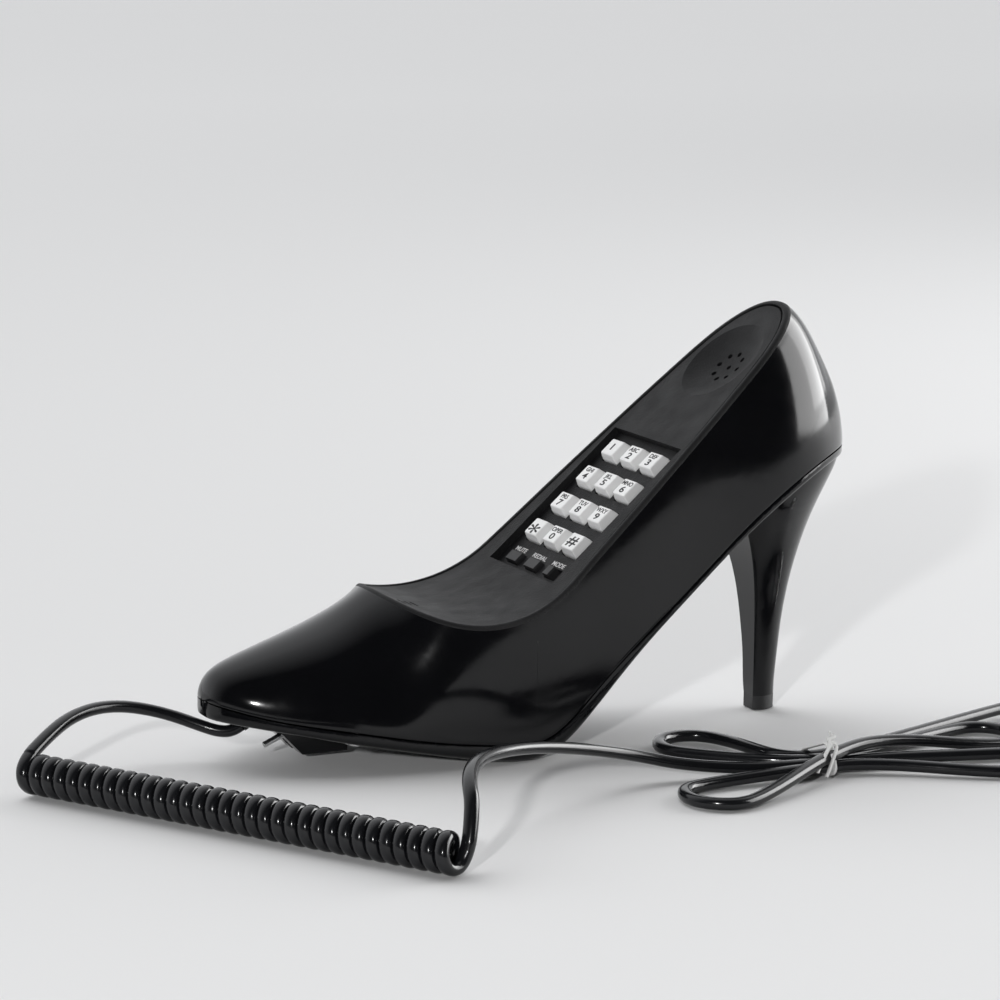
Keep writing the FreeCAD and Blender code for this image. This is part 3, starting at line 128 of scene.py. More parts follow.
PANEL_ORIGIN = Vector((23.90, 0.0, 83.02))
UP_SLOPE = Vector((math.cos(PANEL_ANGLE), 0.0, math.sin(PANEL_ANGLE)))
OUTWARD = Vector((-math.sin(PANEL_ANGLE), 0.0, math.cos(PANEL_ANGLE)))
ACROSS = Vector((0.0, -1.0, 0.0))
KEY_PITCH = (14.1, 13.3)
KEY_BASE = (10.0, 8.4)
KEY_TOP = (8.3, 6.8)
KEY_LEVELS = (-6.3, -2.4, 0.4)
KEY_EDGE = 0.55
KEY_EDGE_STEPS = 4
KEY_EDGE_PROFILE = 0.6
MIDDLE_COLUMN = 1
MIDDLE_ROW = 1.5
KEY_LEGENDS = (
    # node's last word, letters, digit or sign
    (("1", "", "1"), ("2", "ABC", "2"), ("3", "DEF", "3")),
    (("4", "GHI", "4"), ("5", "JKL", "5"), ("6", "MNO", "6")),
    (("7", "PRS", "7"), ("8", "TUV", "8"), ("9", "WXY", "9")),
    (("star", "", "*"), ("0", "OPER", "0"), ("hash", "", "#")),
)
# Height and step up the slope of a sign that stands alone, and of a digit below letters
LONE_LEGENDS = {"1": (2.9, 0.0), "*": (7.0, -2.9), "#": (4.4, 0.0)}
DIGIT_SIZE_AND_RISE = (2.65, -1.25)
DIGIT_WIDEN = 1.65
DIGIT_BOLD = 0.09
LETTER_HEIGHT = 1.8
LETTER_RISE = 1.65
LETTER_WIDEN = 1.2
LETTER_BOLD = 0.07
LEGEND_LIFT = 0.01
FONT_SIZE_OF_CAPITAL = 1.38
PRINT_DEPTH = 0.02
BUTTON_LABELS = (("MUTE", 16.4), ("REDIAL", 2.0), ("MODE", -12.4))
LABEL_UP_SLOPE = -28.9
LABEL_HEIGHT = 1.9
LABEL_BOLD = 0.03
LABEL_LIFT = 0.02
RECESS_FLOOR = -3.0

# Cord, in millimetres

CORD_WIDTH = 4.7
CORD_THICKNESS = 4.0
CORD_SIDES = 16
CORD_POWER = 2.6
SPLINE_STEPS = 7
UNTWIST_PER_MM = 0.05
CORD_EXIT = (-108.75, 0.0, 12.64)
TAIL_ROUTE = (
    (-111.6, 0.3, 10.7), (-116.0, 2.0, 10.6), (-121.2, 5.4, 12.3), (-128.5, 9.3, 15.2),
    (-137.5, 11.8, 18.0), (-147.5, 11.8, 20.2), (-157.5, 9.2, 21.0), (-167.0, 4.2, 20.3),
    (-175.5, -2.4, 18.4),
)
COIL_START = Vector((-187.4, -12.2, 6.9))
COIL_END = Vector((-99.2, -150.4, 6.9))
COIL_RADIUS = 4.85
COIL_PULL = 0.97
COIL_MARGIN = 0.5
COIL_SLACK = 1.2
COIL_TURNS = 32
COIL_ENTRY = math.radians(30)
COIL_EXIT = math.radians(360 * COIL_TURNS + 255)
COIL_STEPS = 12
COIL_STRAIGHT = 4.6
COIL_WAY_STEP = 0.01
LEAD_ROUTE = (
    (-90.9, -143.3, 20.6), (-89.2, -137.6, 24.0), (-84.8, -128.6, 25.8), (-78.2, -119.4, 26.2),
    (-68.5, -109.6, 25.2), (-54.5, -99.0, 23.0), (-37.0, -89.2, 19.4), (-18.0, -81.4, 14.8),
    (1.0, -76.6, 9.8), (18.0, -78.2, 5.2),
)
HANK_ENTRY = (39.1, -84.2, 3.2)
HANK_WAIST = (70.0, -86.0)
STRAND_PITCH = 4.8
STRAND_HEIGHT = 3.2
FOLD_HEIGHT = 2.05
STRAIGHT_RUN = 12.0
CROSSING_REACH = 26.0
FOLD_RADIUS = 12.0
FOLD_LEG = 0.577
FOLD_PEAK = 1.155
# Centre, heading in degrees and way of turning of each end fold
FOLD_RIGHT_NEAR = ((128, -108), -14, 1)
FOLD_LEFT_NEAR = ((18, -106), 196, -1)
FOLD_RIGHT_FAR = ((141, -74), 8, -1)
FOLD_LEFT_FAR = ((41, -46), 128, 1)
PLUG_FACE = (176.0, -47.0, 3.3)
PLUG_RUNS = (9.0, 4.0)

# Tie, in millimetres

BAND_STEPS = 96
BAND_GAP = 0.45
BAND_SIZE = (2.6, 0.7)
TAIL_SIZE = (2.0, 0.7)
RIBBON_SIDES = 10
RIBBON_POWER = 4.0
TIE_FACING = (0.3, 1.0, 0.2)
KNOT_ROW = 1.3
KNOT_GAP = 0.9
TWIST_END = 9.0
TWIST_STEPS = 40
TWIST_RADIUS = 0.8
TWIST_LEAN = 0.35
TWIST_RISE = 0.25
TIE_TAILS = (
    ((0, 0, 0), (-1, -4, 1.5), (-5, -5.5, -3), (-8, -6.5, -8)),
    ((0, 0, 0), (1, -4.5, 1), (-2, -6.5, -4), (-5, -7.5, -9.5)),
)

# Camera, in metres, with its lens and sensor in millimetres

CAMERA_PLACE = (-0.55613, -1.10115, 0.31696)
CAMERA_RIGHT = (0.89801, -0.43964, 0.01715)
CAMERA_UP = (0.06702, 0.17520, 0.98225)
CAMERA_BACK = (-0.43484, -0.88092, 0.18679)
CAMERA_LENS = 130.04
CAMERA_SENSOR = 36.0

# Floor and light, in metres and watts

FLOOR_HALF_WIDE = 6.0
FLOOR_NEAR = -0.62
FLOOR_FAR = 9.0
FLOOR_LEVEL = -0.0004
FLOOR_PALING = (0.2, 2.6)
FLOOR_TONES = (0.81, 0.97)
FLOOR_ROUGHNESS = 0.8
FLOOR_SPECULAR = 0.2
WORLD_TINT = (0.97, 0.98, 1.0, 1.0)
WORLD_TURN = (-0.15, 0.5)
WORLD_DARK = 0.035
WORLD_PALE = 1.0
SKY_STRENGTH = 1.12
SKY_SPREAD = math.radians(60)
SKY_WAY = (0.2, -0.62, -0.76)
LAMPS = {
    # place, aim, size, power
    "key": ((-1.65, -1.95, 0.86), (0.02, 0.0, 0.05), (0.12, 0.12), 30.0),
    "side": ((1.5, 0.05, 0.6), (0.1, 0.0, 0.1), (1.1, 1.0), 10.0),
    "window": ((1.45, -0.35, 0.52), (0.1, 0.0, 0.1), (1.5, 1.1), 32.0),
}
REFLECTED_ONLY = "window"


# Materials

# Scale and detail of the noise
COLOUR_PATCHES = (38.0, 3.0)
ROUGHNESS_PATCHES = (120.0, 5.0)
GRAIN_DETAIL = 2.0
NOISE_SPREAD = (0.3, 0.7)
PLAIN_REFRACTION = 1.45
REFRACTION = {"gloss_black": 1.42, "matte_black": 1.34, "clear_plastic": 1.5}
CLEARNESS = {"clear_plastic": 0.9}
METALS = ("steel", "chrome_rod", "aluminium_can", "gold_contact")
FINISHES = {
    # dark colour, light colour, roughness, scale of the grain, strength and depth of its bump
    "gloss_black": (
        (0.0028, 0.0029, 0.0036), (0.0036, 0.0038, 0.0048), (0.08, 0.14), 300.0, (0.04, 0.0002)),
    "matte_black": ((0.005, 0.005, 0.0056), (0.008, 0.008, 0.0088), (0.5, 0.62), 1500.0, (0.6, 0.0003)),
    "key_white": ((0.80, 0.80, 0.80), (0.86, 0.86, 0.855), (0.28, 0.40), 900.0, (0.06, 0.0001)),
    "black_rubber": ((0.011, 0.011, 0.012), (0.017, 0.017, 0.018), (0.40, 0.55), 900.0, (0.2, 0.0002)),
    "grey_rubber": ((0.16, 0.16, 0.165), (0.21, 0.21, 0.215), (0.55, 0.7), 900.0, (0.2, 0.0002)),
    "foam_black": ((0.010, 0.010, 0.010), (0.022, 0.022, 0.022), (0.85, 0.95), 1800.0, (0.9, 0.0005)),
    "steel": ((0.50, 0.50, 0.50), (0.60, 0.60, 0.60), (0.22, 0.34), 600.0, (0.05, 0.0001)),
    "chrome_rod": ((0.72, 0.72, 0.73), (0.80, 0.80, 0.81), (0.10, 0.18), 600.0, (0.03, 0.0001)),
    "board_green": ((0.018, 0.10, 0.040), (0.028, 0.14, 0.055), (0.30, 0.42), 700.0, (0.08, 0.0001)),
    "switch_black": ((0.012, 0.012, 0.013), (0.02, 0.02, 0.021), (0.40, 0.52), 900.0, (0.12, 0.0001)),
    "grey_plastic": ((0.24, 0.24, 0.25), (0.30, 0.30, 0.31), (0.40, 0.52), 900.0, (0.12, 0.0001)),
    "aluminium_can": ((0.62, 0.62, 0.63), (0.72, 0.72, 0.73), (0.30, 0.42), 700.0, (0.06, 0.0001)),
    "cord_black": ((0.006, 0.0063, 0.0075), (0.009, 0.0095, 0.011), (0.14, 0.22), 700.0, (0.08, 0.0002)),
    "tie_white": ((0.74, 0.74, 0.73), (0.86, 0.86, 0.85), (0.55, 0.7), 1300.0, (0.4, 0.0002)),
    "gold_contact": ((0.78, 0.55, 0.22), (0.88, 0.65, 0.28), (0.18, 0.28), 700.0, (0.04, 0.0001)),
    "clear_plastic": ((0.90, 0.92, 0.93), (0.95, 0.96, 0.97), (0.08, 0.14), 500.0, (0.03, 0.0001)),
    "legend_black": ((0.012, 0.012, 0.013), (0.02, 0.02, 0.021), (0.45, 0.6), 900.0, None),
    "label_white": ((0.55, 0.55, 0.55), (0.66, 0.66, 0.66), (0.5, 0.65), 900.0, None),
}


def blank_material(name):
    material = bpy.data.materials.new(name)
    material.use_nodes = True
    tree = material.node_tree
    tree.nodes.clear()
    output = tree.nodes.new("ShaderNodeOutputMaterial")
    shader = tree.nodes.new("ShaderNodeBsdfPrincipled")
    tree.links.new(shader.outputs["BSDF"], output.inputs["Surface"])
    return material, tree, shader


def noise(tree, scale, detail):
    place = tree.nodes.new("ShaderNodeTexCoord")
    texture = tree.nodes.new("ShaderNodeTexNoise")
    texture.inputs["Scale"].default_value = scale
    texture.inputs["Detail"].default_value = detail
    tree.links.new(place.outputs["Object"], texture.inputs["Vector"])
    return texture


def vary_colour(tree, shader, texture, dark, light):
    ramp = tree.nodes.new("ShaderNodeValToRGB")
    for stop, position, colour in zip(ramp.color_ramp.elements, NOISE_SPREAD, (dark, light)):
        stop.position = position
        stop.color = (*colour, 1.0)
    tree.links.new(texture.outputs["Fac"], ramp.inputs["Fac"])
    tree.links.new(ramp.outputs["Color"], shader.inputs["Base Color"])


def vary_roughness(tree, shader, texture, low, high):
    spread = tree.nodes.new("ShaderNodeMapRange")
    spread.inputs["From Min"].default_value, spread.inputs["From Max"].default_value = NOISE_SPREAD
    spread.inputs["To Min"].default_value = low
    spread.inputs["To Max"].default_value = high
    tree.links.new(texture.outputs["Fac"], spread.inputs["Value"])
    tree.links.new(spread.outputs["Result"], shader.inputs["Roughness"])


def add_bump(tree, shader, texture, strength, distance):
    bump = tree.nodes.new("ShaderNodeBump")
    bump.inputs["Strength"].default_value = strength
    bump.inputs["Distance"].default_value = distance
    tree.links.new(texture.outputs["Fac"], bump.inputs["Height"])
    tree.links.new(bump.outputs["Normal"], shader.inputs["Normal"])


def finish_material(name, dark, light, rough, grain, bump):
    """A procedural finish: colour and roughness vary over broad patches, and the grain is a fine bump."""
    material, tree, shader = blank_material(name)
    vary_colour(tree, shader, noise(tree, *COLOUR_PATCHES), dark, light)
    vary_roughness(tree, shader, noise(tree, *ROUGHNESS_PATCHES), *rough)
    if bump:
        add_bump(tree, shader, noise(tree, grain, GRAIN_DETAIL), *bump)
    shader.inputs["Metallic"].default_value = 1.0 if name in METALS else 0.0
    shader.inputs["IOR"].default_value = REFRACTION.get(name, PLAIN_REFRACTION)
    shader.inputs["Transmission Weight"].default_value = CLEARNESS.get(name, 0.0)
    return material


def make_materials():
    return {name: finish_material(name, *finish) for name, finish in FINISHES.items()}


materials = make_materials()


# Small helpers

def link_mesh(name, vertices, faces, slot):
    """A new smooth-shaded piece from points in millimetres, riding on the shoe with its slot's finish."""
    mesh = bpy.data.meshes.new(name)
    mesh.from_pydata([Vector(v) * MM for v in vertices], [], faces)
    mesh.shade_smooth()
    piece = bpy.data.objects.new(name, mesh)
    bpy.context.scene.collection.objects.link(piece)
    mesh.materials.append(materials[slot])
    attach(piece, "shoe")
    return piece


def weld(piece, distance):
    work = bmesh.new()
    work.from_mesh(piece.data)
    bmesh.ops.remove_doubles(work, verts=work.verts, dist=distance * MM)
    bmesh.ops.recalc_face_normals(work, faces=work.faces)
    work.to_mesh(piece.data)
    work.free()
    piece.data.shade_smooth()


def on_panel(across, up_slope, level):
    """A point of the keypad panel: y across the shoe, distance up the slope and level above the face."""
    return PANEL_ORIGIN + UP_SLOPE * up_slope + OUTWARD * level + Vector((0.0, across, 0.0))


# Upper

def natural_spline(knots, values):
    """Second derivatives of a natural cubic spline through the values."""
    count = len(knots)
    gaps = np.diff(knots)
    matrix = np.eye(count)
    right = np.zeros(count)
    for i in range(1, count - 1):
        matrix[i, i - 1:i + 2] = gaps[i - 1], 2 * (gaps[i - 1] + gaps[i]), gaps[i]
        right[i] = 6 * ((values[i + 1] - values[i]) / gaps[i] - (values[i] - values[i - 1]) / gaps[i - 1])
    return np.linalg.solve(matrix, right)


def spline_at(knots, values, bends, places):
    spot = np.clip(np.searchsorted(knots, places) - 1, 0, len(knots) - 2)
    gap = knots[spot + 1] - knots[spot]
    a = (knots[spot + 1] - places) / gap
    b = 1 - a
    curve = (a ** 3 - a) * bends[spot] + (b ** 3 - b) * bends[spot + 1]
    return a * values[spot] + b * values[spot + 1] + curve * gap ** 2 / 6


def section_table():
    """The section sizes at closely spaced places along the shoe."""
    table = np.array(SECTIONS)
    table[:, 0] *= SHOE_LENGTH
    steps = np.linalg.norm(np.diff(table[:, :4], axis=0), axis=1) ** 0.5
    knots = np.concatenate(([0.0], np.cumsum(steps)))
    fine = np.linspace(0.0, knots[-1], TABLE_PLACES)
    columns = []
    for column in table.T:
        columns.append(spline_at(knots, column, natural_spline(knots, column), fine))
    return np.array(columns)


FIELDS = section_table()


def section(along):
    """Half width, base height, rise and power of the arch at a place along the shoe."""
    half, seam, crest, power = (np.interp(along, FIELDS[0], field) for field in FIELDS[1:])
    base = seam + SEAM_LIFT
    return max(half, LEAST_HALF_WIDTH), base, max(crest - base, LEAST_RISE), power


def arch_point(along, angle):
    half, base, rise, power = section(along)
    reach = ((abs(math.cos(angle)) / half) ** power + (math.sin(angle) / rise) ** power) ** (-1 / power)
    return np.array((along, reach * math.cos(angle), base + reach * math.sin(angle)))


def outer_normal(point):
    """Outward direction of the arch at a point on it, by differences."""
    def inside(p):
        half, base, rise, power = section(p[0])
        return (abs(p[1]) / half) ** power + (max(p[2] - base, 0.0) / rise) ** power
    steps = NORMAL_STEP * np.eye(3)
    slope = np.array([inside(point + step) - inside(point - step) for step in steps])
    return slope / np.linalg.norm(slope)


def panel_height(along):
    if along < PANEL_START:
        return VALLEY_CENTRE[1] - math.sqrt(VALLEY_RADIUS ** 2 - (along - VALLEY_CENTRE[0]) ** 2)
    return PANEL_LOW + (along - PANEL_START) * math.tan(PANEL_ANGLE)


def panel_normal(along):
    if along < PANEL_START:
        towards_centre = (VALLEY_CENTRE[0] - along, 0.0, VALLEY_CENTRE[1] - panel_height(along))
        return np.array(towards_centre) / VALLEY_RADIUS
    return np.array(OUTWARD)


def crest_crossing(low, high):
    """Place along the shoe where the crest meets the panel, by halving."""
    def above(along):
        _, base, rise, _ = section(along)
        return base + rise - panel_height(along)
    rising = above(high) > above(low)
    for _ in range(HALVINGS):
        middle = (low + high) / 2
        if (above(middle) > 0) == rising:
            high = middle
        else:
            low = middle
    return (low + high) / 2


def rim_point(along):
    half, base, rise, power = section(along)
    share = min(max((panel_height(along) - base) / rise, 0.0), 1.0)
    return np.array((along, half * (1 - share ** power) ** (1 / power), panel_height(along)))


def unit(vector):
    return vector / max(np.linalg.norm(vector), 1e-12)


def rim_lines():
    """Along the opening: where the side ends, then the rounded lip's points down to its inner wall."""
    throat = crest_crossing(*THROAT_SEARCH)
    end = crest_crossing(*BACK_SEARCH)
    turn = [math.pi * k / RIM_COLUMNS for k in range(RIM_COLUMNS + 1)]
    places = [throat + (end - throat) * (1 - math.cos(t)) / 2 for t in turn]
    points = [rim_point(s) for s in places]
    points[0][1] = points[-1][1] = 0.0
    centre = np.array((OPENING_MIDDLE, 0.0, panel_height(OPENING_MIDDLE)))
    lines = []
    for k, point in enumerate(points):
        before = points[k - 1] if k else points[1] * (1, -1, 1)
        after = points[k + 1] if k < RIM_COLUMNS else points[-2] * (1, -1, 1)
        way = unit(after - before)
        up = unit(panel_normal(point[0]) - way * np.dot(panel_normal(point[0]), way))
        inward = np.cross(way, up)
        if k in (0, RIM_COLUMNS):
            inward[1] = 0.0
        side = np.cross(way, outer_normal(point + np.array((0.0, OFF_MIDDLE, 0.0))))
        if np.dot(side, up) > 0:
            side = -side
        side = unit(side)
        if np.dot(inward, centre - point) < 0:
            inward = -inward
        start = point + side * RIM_SETBACK
        peak = point + up * RIM_RISE
        top = point + inward * RIM_SETBACK + up * RIM_RISE
        line = [start]
        for t in LIP_SHARES:
            line.append((1 - t) ** 2 * start + 2 * t * (1 - t) * peak + t ** 2 * top)
        edge = point + inward * RIM_WIDTH + up * RIM_RISE
        line.append(edge - inward * RIM_EDGE_ROUND)
        line.append(edge - inward * RIM_EDGE_MIDDLE - up * RIM_EDGE_MIDDLE)
        line.append(edge - up * RIM_EDGE_ROUND)
        line.append(edge - up * RIM_DEPTH)
        if k in (0, RIM_COLUMNS):
            for p in line:
                p[1] = 0.0
        lines.append(line)
    return lines


def side_column(along, top):
    """Evenly spaced points up one side at a place along the shoe, from the turned-in edge to the top."""
    angles = np.linspace(0.0, math.pi / 2, ARCH_PLACES)
    curve = np.array([arch_point(along, a) for a in angles])
    if top is not None:
        keep = curve[:, 2] < top[2]
        curve = np.vstack((curve[keep], top))
    run = np.concatenate(([0.0], np.cumsum(np.linalg.norm(np.diff(curve, axis=0), axis=1))))
    soft = min(EDGE_ROUND, run[-1] * EDGE_ROUND_SHARE)
    spots = np.linspace(soft, run[-1], SIDE_ROWS)
    column = [np.array([np.interp(d, run, curve[:, axis]) for axis in range(3)]) for d in spots]
    foot = curve[0]
    turned = min(EDGE_TURN_IN, foot[1] * EDGE_TURN_SHARE)
    inner = foot - np.array((0.0, turned, 0.0))
    rounded = foot - np.array((0.0, min(soft, turned) * EDGE_CUT_SHARE, -soft * EDGE_CUT_SHARE))
    near = foot - np.array((0.0, min(soft, turned), 0.0))
    return [inner, near, rounded] + column


def make_upper():
    """The glossy upper, from the toe round the opening to the back, and its matte rim."""
    lines = rim_lines()
    first = lines[0][0][0]
    last = lines[-1][0][0]
    toe = [first * (1 - math.cos(math.pi / 2 * k / TOE_COLUMNS)) for k in range(TOE_COLUMNS)]
    turns = [math.pi / 2 * k / BACK_COLUMNS for k in range(1, BACK_COLUMNS + 1)]
    back = [last + (UPPER_END - last) * math.sin(turn) for turn in turns]
    columns = [side_column(max(s, END_CLEARANCE), None) for s in toe]
    columns += [side_column(line[0][0], line[0]) for line in lines]
    columns += [side_column(min(s, UPPER_END - END_CLEARANCE), None) for s in back]
    upper = link_mesh("upper", *both_sides(columns), "gloss_black")
    weld(upper, WELD_DISTANCE)
    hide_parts("upper_shell")
    rim = link_mesh("rim", *both_sides(lines), "matte_black")
    weld(rim, WELD_DISTANCE)


def both_sides(grid):
    """Vertices and faces of a grid of columns on the far side of the shoe and its mirror image."""
    vertices = []
    faces = []
    tall = len(grid[0])
    for side in (1, -1):
        start = len(vertices)
        for column in grid:
            vertices += [(p[0] - SHOE_LENGTH / 2, side * p[1], p[2]) for p in column]
        for i in range(len(grid) - 1):
            for j in range(tall - 1):
                a = start + i * tall + j
                quad = (a, a + 1, a + tall + 1, a + tall)
                faces.append(quad[::side])
    return vertices, faces


def make_mould_lines():
    """Fine raised line up each side, where the mould's parts met."""
    vertices = []
    faces = []
    for side in (1, -1):
        angles = [math.radians(a) for a in np.linspace(*MOULD_LINE_ANGLES, MOULD_LINE_STEPS)]
        points = [arch_point(MOULD_LINE_PLACE, a) for a in angles]
        path = [Vector((p[0] - SHOE_LENGTH / 2, side * p[1], p[2])) for p in points]
        outward = [Vector(outer_normal(p)) for p in points]
        for direction in outward:
            direction.y *= side
        more, quads = sweep(path, outward, *MOULD_LINE_SECTION)
        start = len(vertices)
        vertices += more
        faces += [tuple(start + i for i in quad) for quad in quads]
    link_mesh("mould_lines", vertices, faces, "gloss_black")


def make_sole_nose():
    """Rounded front of the sole, below the toe of the upper."""
    shares, unders = zip(*SOLE_NOSE)
    columns = []
    for k in range(SOLE_NOSE_COLUMNS + 1):
        along = SOLE_NOSE_REACH * (1 - math.cos(math.pi / 2 * k / SOLE_NOSE_COLUMNS))
        half, base, _, _ = section(max(along, END_CLEARANCE))
        top = base - 2 * SEAM_LIFT
        drop = top - np.interp(along / SHOE_LENGTH, shares, unders)
        column = []
        for angle in np.linspace(0.0, math.pi / 2, SOLE_NOSE_ROWS):
            across = (half + SOLE_NOSE_PROUD) * math.cos(angle) ** SOLE_POWER
            below = (drop + SOLE_NOSE_PROUD) * math.sin(angle) ** SOLE_POWER
            column.append(np.array((along, across, top - below)))
        columns.append(column)
    nose = link_mesh("sole_nose", *both_sides(columns), "gloss_black")
    weld(nose, WELD_DISTANCE)


# Keys and printing

def text_mesh(words, height, place, bold, widen):
    """Flat letters centred on a place of the panel, given as across, up slope and level."""
    curve = bpy.data.curves.new("words", "FONT")
    curve.body = words
    curve.align_x = "CENTER"
    curve.align_y = "CENTER"
    curve.size = height * FONT_SIZE_OF_CAPITAL
    curve.offset = bold
    curve.extrude = PRINT_DEPTH
    holder = bpy.data.objects.new("words", curve)
    bpy.context.scene.collection.objects.link(holder)
    bpy.context.view_layer.update()
    ready = holder.evaluated_get(bpy.context.evaluated_depsgraph_get())
    mesh = bpy.data.meshes.new_from_object(ready)
    bpy.data.objects.remove(holder)
    bpy.data.curves.remove(curve)
    origin = on_panel(*place)
    turn = Matrix((ACROSS * widen, UP_SLOPE, OUTWARD)).transposed().to_4x4()
    mesh.transform(Matrix.Scale(MM, 4) @ Matrix.Translation(origin) @ turn)
    return mesh


def join_meshes(name, meshes, finishes):
    """One piece from several meshes, each with the name and slot number of its finish."""
    work = bmesh.new()
    for index, mesh in enumerate(meshes):
        old = len(work.faces)
        work.from_mesh(mesh)
        work.faces.ensure_lookup_table()
        for face in work.faces[old:]:
            face.material_index = finishes[index][1]
    joined = bpy.data.meshes.new(name)
    work.to_mesh(joined)
    work.free()
    for slot in sorted(set(finishes), key=lambda f: f[1]):
        joined.materials.append(materials[slot[0]])
    piece = bpy.data.objects.new(name, joined)
    bpy.context.scene.collection.objects.link(piece)
    return piece


def key_cap(across, up_slope):
    """A tapered cap with rounded edges."""
    work = bmesh.new()
    rings = []
    sizes = (KEY_BASE, KEY_BASE, KEY_TOP)
    for level, (wide, deep) in zip(KEY_LEVELS, sizes):
        ring = []
        for x, y in ((-1, -1), (1, -1), (1, 1), (-1, 1)):
            corner = on_panel(across + x * wide / 2, up_slope + y * deep / 2, level)
            ring.append(work.verts.new(corner * MM))
        rings.append(ring)
    for low, high in zip(rings, rings[1:]):
        for i in range(4):
            work.faces.new((low[i], low[i - 1], high[i - 1], high[i]))
    work.faces.new(rings[-1])
    work.faces.new(rings[0][::-1])
    bmesh.ops.recalc_face_normals(work, faces=work.faces)
    bmesh.ops.bevel(work, geom=work.edges[:], offset=KEY_EDGE * MM, segments=KEY_EDGE_STEPS,
                    profile=KEY_EDGE_PROFILE, affect="EDGES")
    mesh = bpy.data.meshes.new("cap")
    work.to_mesh(mesh)
    work.free()
    mesh.shade_smooth()
    return mesh


def make_keys():
    """Twelve white caps with their legends, each on its own body."""
    for row, legends in enumerate(KEY_LEGENDS):
        for column, (name, letters, digit) in enumerate(legends):
            across = (MIDDLE_COLUMN - column) * KEY_PITCH[0]
            up_slope = (MIDDLE_ROW - row) * KEY_PITCH[1]
            level = KEY_LEVELS[-1] + LEGEND_LIFT
            size, rise = LONE_LEGENDS.get(digit, DIGIT_SIZE_AND_RISE)
            place = (across, up_slope + rise, level)
            meshes = [key_cap(across, up_slope), text_mesh(digit, size, place, DIGIT_BOLD, DIGIT_WIDEN)]
            if letters:
                place = (across, up_slope + LETTER_RISE, level)
                meshes.append(text_mesh(letters, LETTER_HEIGHT, place, LETTER_BOLD, LETTER_WIDEN))
            finishes = [("key_white", 0)] + [("legend_black", 1)] * (len(meshes) - 1)
            key = join_meshes("key_cap_" + name, meshes, finishes)
            key.modifiers.new("flat_faces", "WEIGHTED_NORMAL")
            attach(key, "key_" + name + "_body")
            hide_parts("key_" + name)


def make_labels():
    """The words printed above the three buttons."""
    meshes = []
    for words, across in BUTTON_LABELS:
        place = (across, LABEL_UP_SLOPE, RECESS_FLOOR + LABEL_LIFT)
        meshes.append(text_mesh(words, LABEL_HEIGHT, place, LABEL_BOLD, LETTER_WIDEN))
    labels = join_meshes("button_labels", meshes, [("label_white", 0)] * len(meshes))
    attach(labels, "shoe")


# Cord

def coil_point(angle):
    """A control point of the coil, which stands out from it a little, since the spline cuts corners."""
    axis = COIL_END - COIL_START
    climb = axis * ((angle - COIL_ENTRY) / (COIL_EXIT - COIL_ENTRY))
    along = axis.normalized()
    side = Vector((along.y, -along.x, 0.0))
    radius = COIL_RADIUS / COIL_PULL
    return COIL_START + climb + radius * (Vector((0, 0, 1)) * math.cos(angle) + side * math.sin(angle))


def coil_way(angle):
    return (coil_point(angle + COIL_WAY_STEP) - coil_point(angle - COIL_WAY_STEP)).normalized()


def coil_points():
    steps = round((COIL_EXIT - COIL_ENTRY) / (2 * math.pi) * COIL_STEPS)
    return [coil_point(COIL_ENTRY + (COIL_EXIT - COIL_ENTRY) * k / steps) for k in range(steps + 1)]


def strand(row, layer, shift=0.0):
    """Place of a strand at the tie: row across, layer up and shift along."""
    x, y = HANK_WAIST
    return (x + shift, y - STRAND_PITCH * row, STRAND_HEIGHT + STRAND_PITCH * layer)


def fold(centre, heading, turn):
    """The end bend of a loop: five points round a centre, entered along a heading in degrees."""
    way = Vector((math.cos(math.radians(heading)), math.sin(math.radians(heading)), 0.0))
    left = Vector((-way.y, way.x, 0.0)) * turn
    middle = Vector((*centre, FOLD_HEIGHT))
    leg = way * FOLD_LEG
    corners = (left - leg, left + leg, way * FOLD_PEAK, leg - left, -left - leg)
    return [tuple(middle + corner * FOLD_RADIUS) for corner in corners]


def hank_points():
    """Control points of the hank, through the tie and round each fold, and on to the plug."""
    run = STRAIGHT_RUN
    points = [HANK_ENTRY, strand(0.5, 0, -run), strand(0.5, 0, run)]
    points += fold(*FOLD_RIGHT_NEAR)
    points += [strand(1.5, 0, run), strand(1.5, 0, -run)]
    points += fold(*FOLD_LEFT_NEAR)
    points += [strand(1.1, 1), strand(-0.6, 1, CROSSING_REACH)]
    points += fold(*FOLD_RIGHT_FAR)
    points += [strand(-0.5, 0, run), strand(-0.5, 0, -run)]
    points += fold(*FOLD_LEFT_FAR)
    points += [strand(-1.5, 0, -run), strand(-1.5, 0, run)]
    points += [(PLUG_FACE[0] - back, *PLUG_FACE[1:]) for back in PLUG_RUNS]
    return points + [PLUG_FACE]


def cord_points():
    """Control points of the whole cord: tail, coils, lead and hank."""
    coil = coil_points()
    entry = coil[0] - coil_way(COIL_ENTRY) * COIL_STRAIGHT
    leave = coil[-1] + coil_way(COIL_EXIT) * COIL_STRAIGHT
    points = [Vector(CORD_EXIT)] + [Vector(p) for p in TAIL_ROUTE] + [entry] + coil + [leave]
    points += [Vector(p) for p in LEAD_ROUTE]
    return points + [Vector(p) for p in hank_points()]


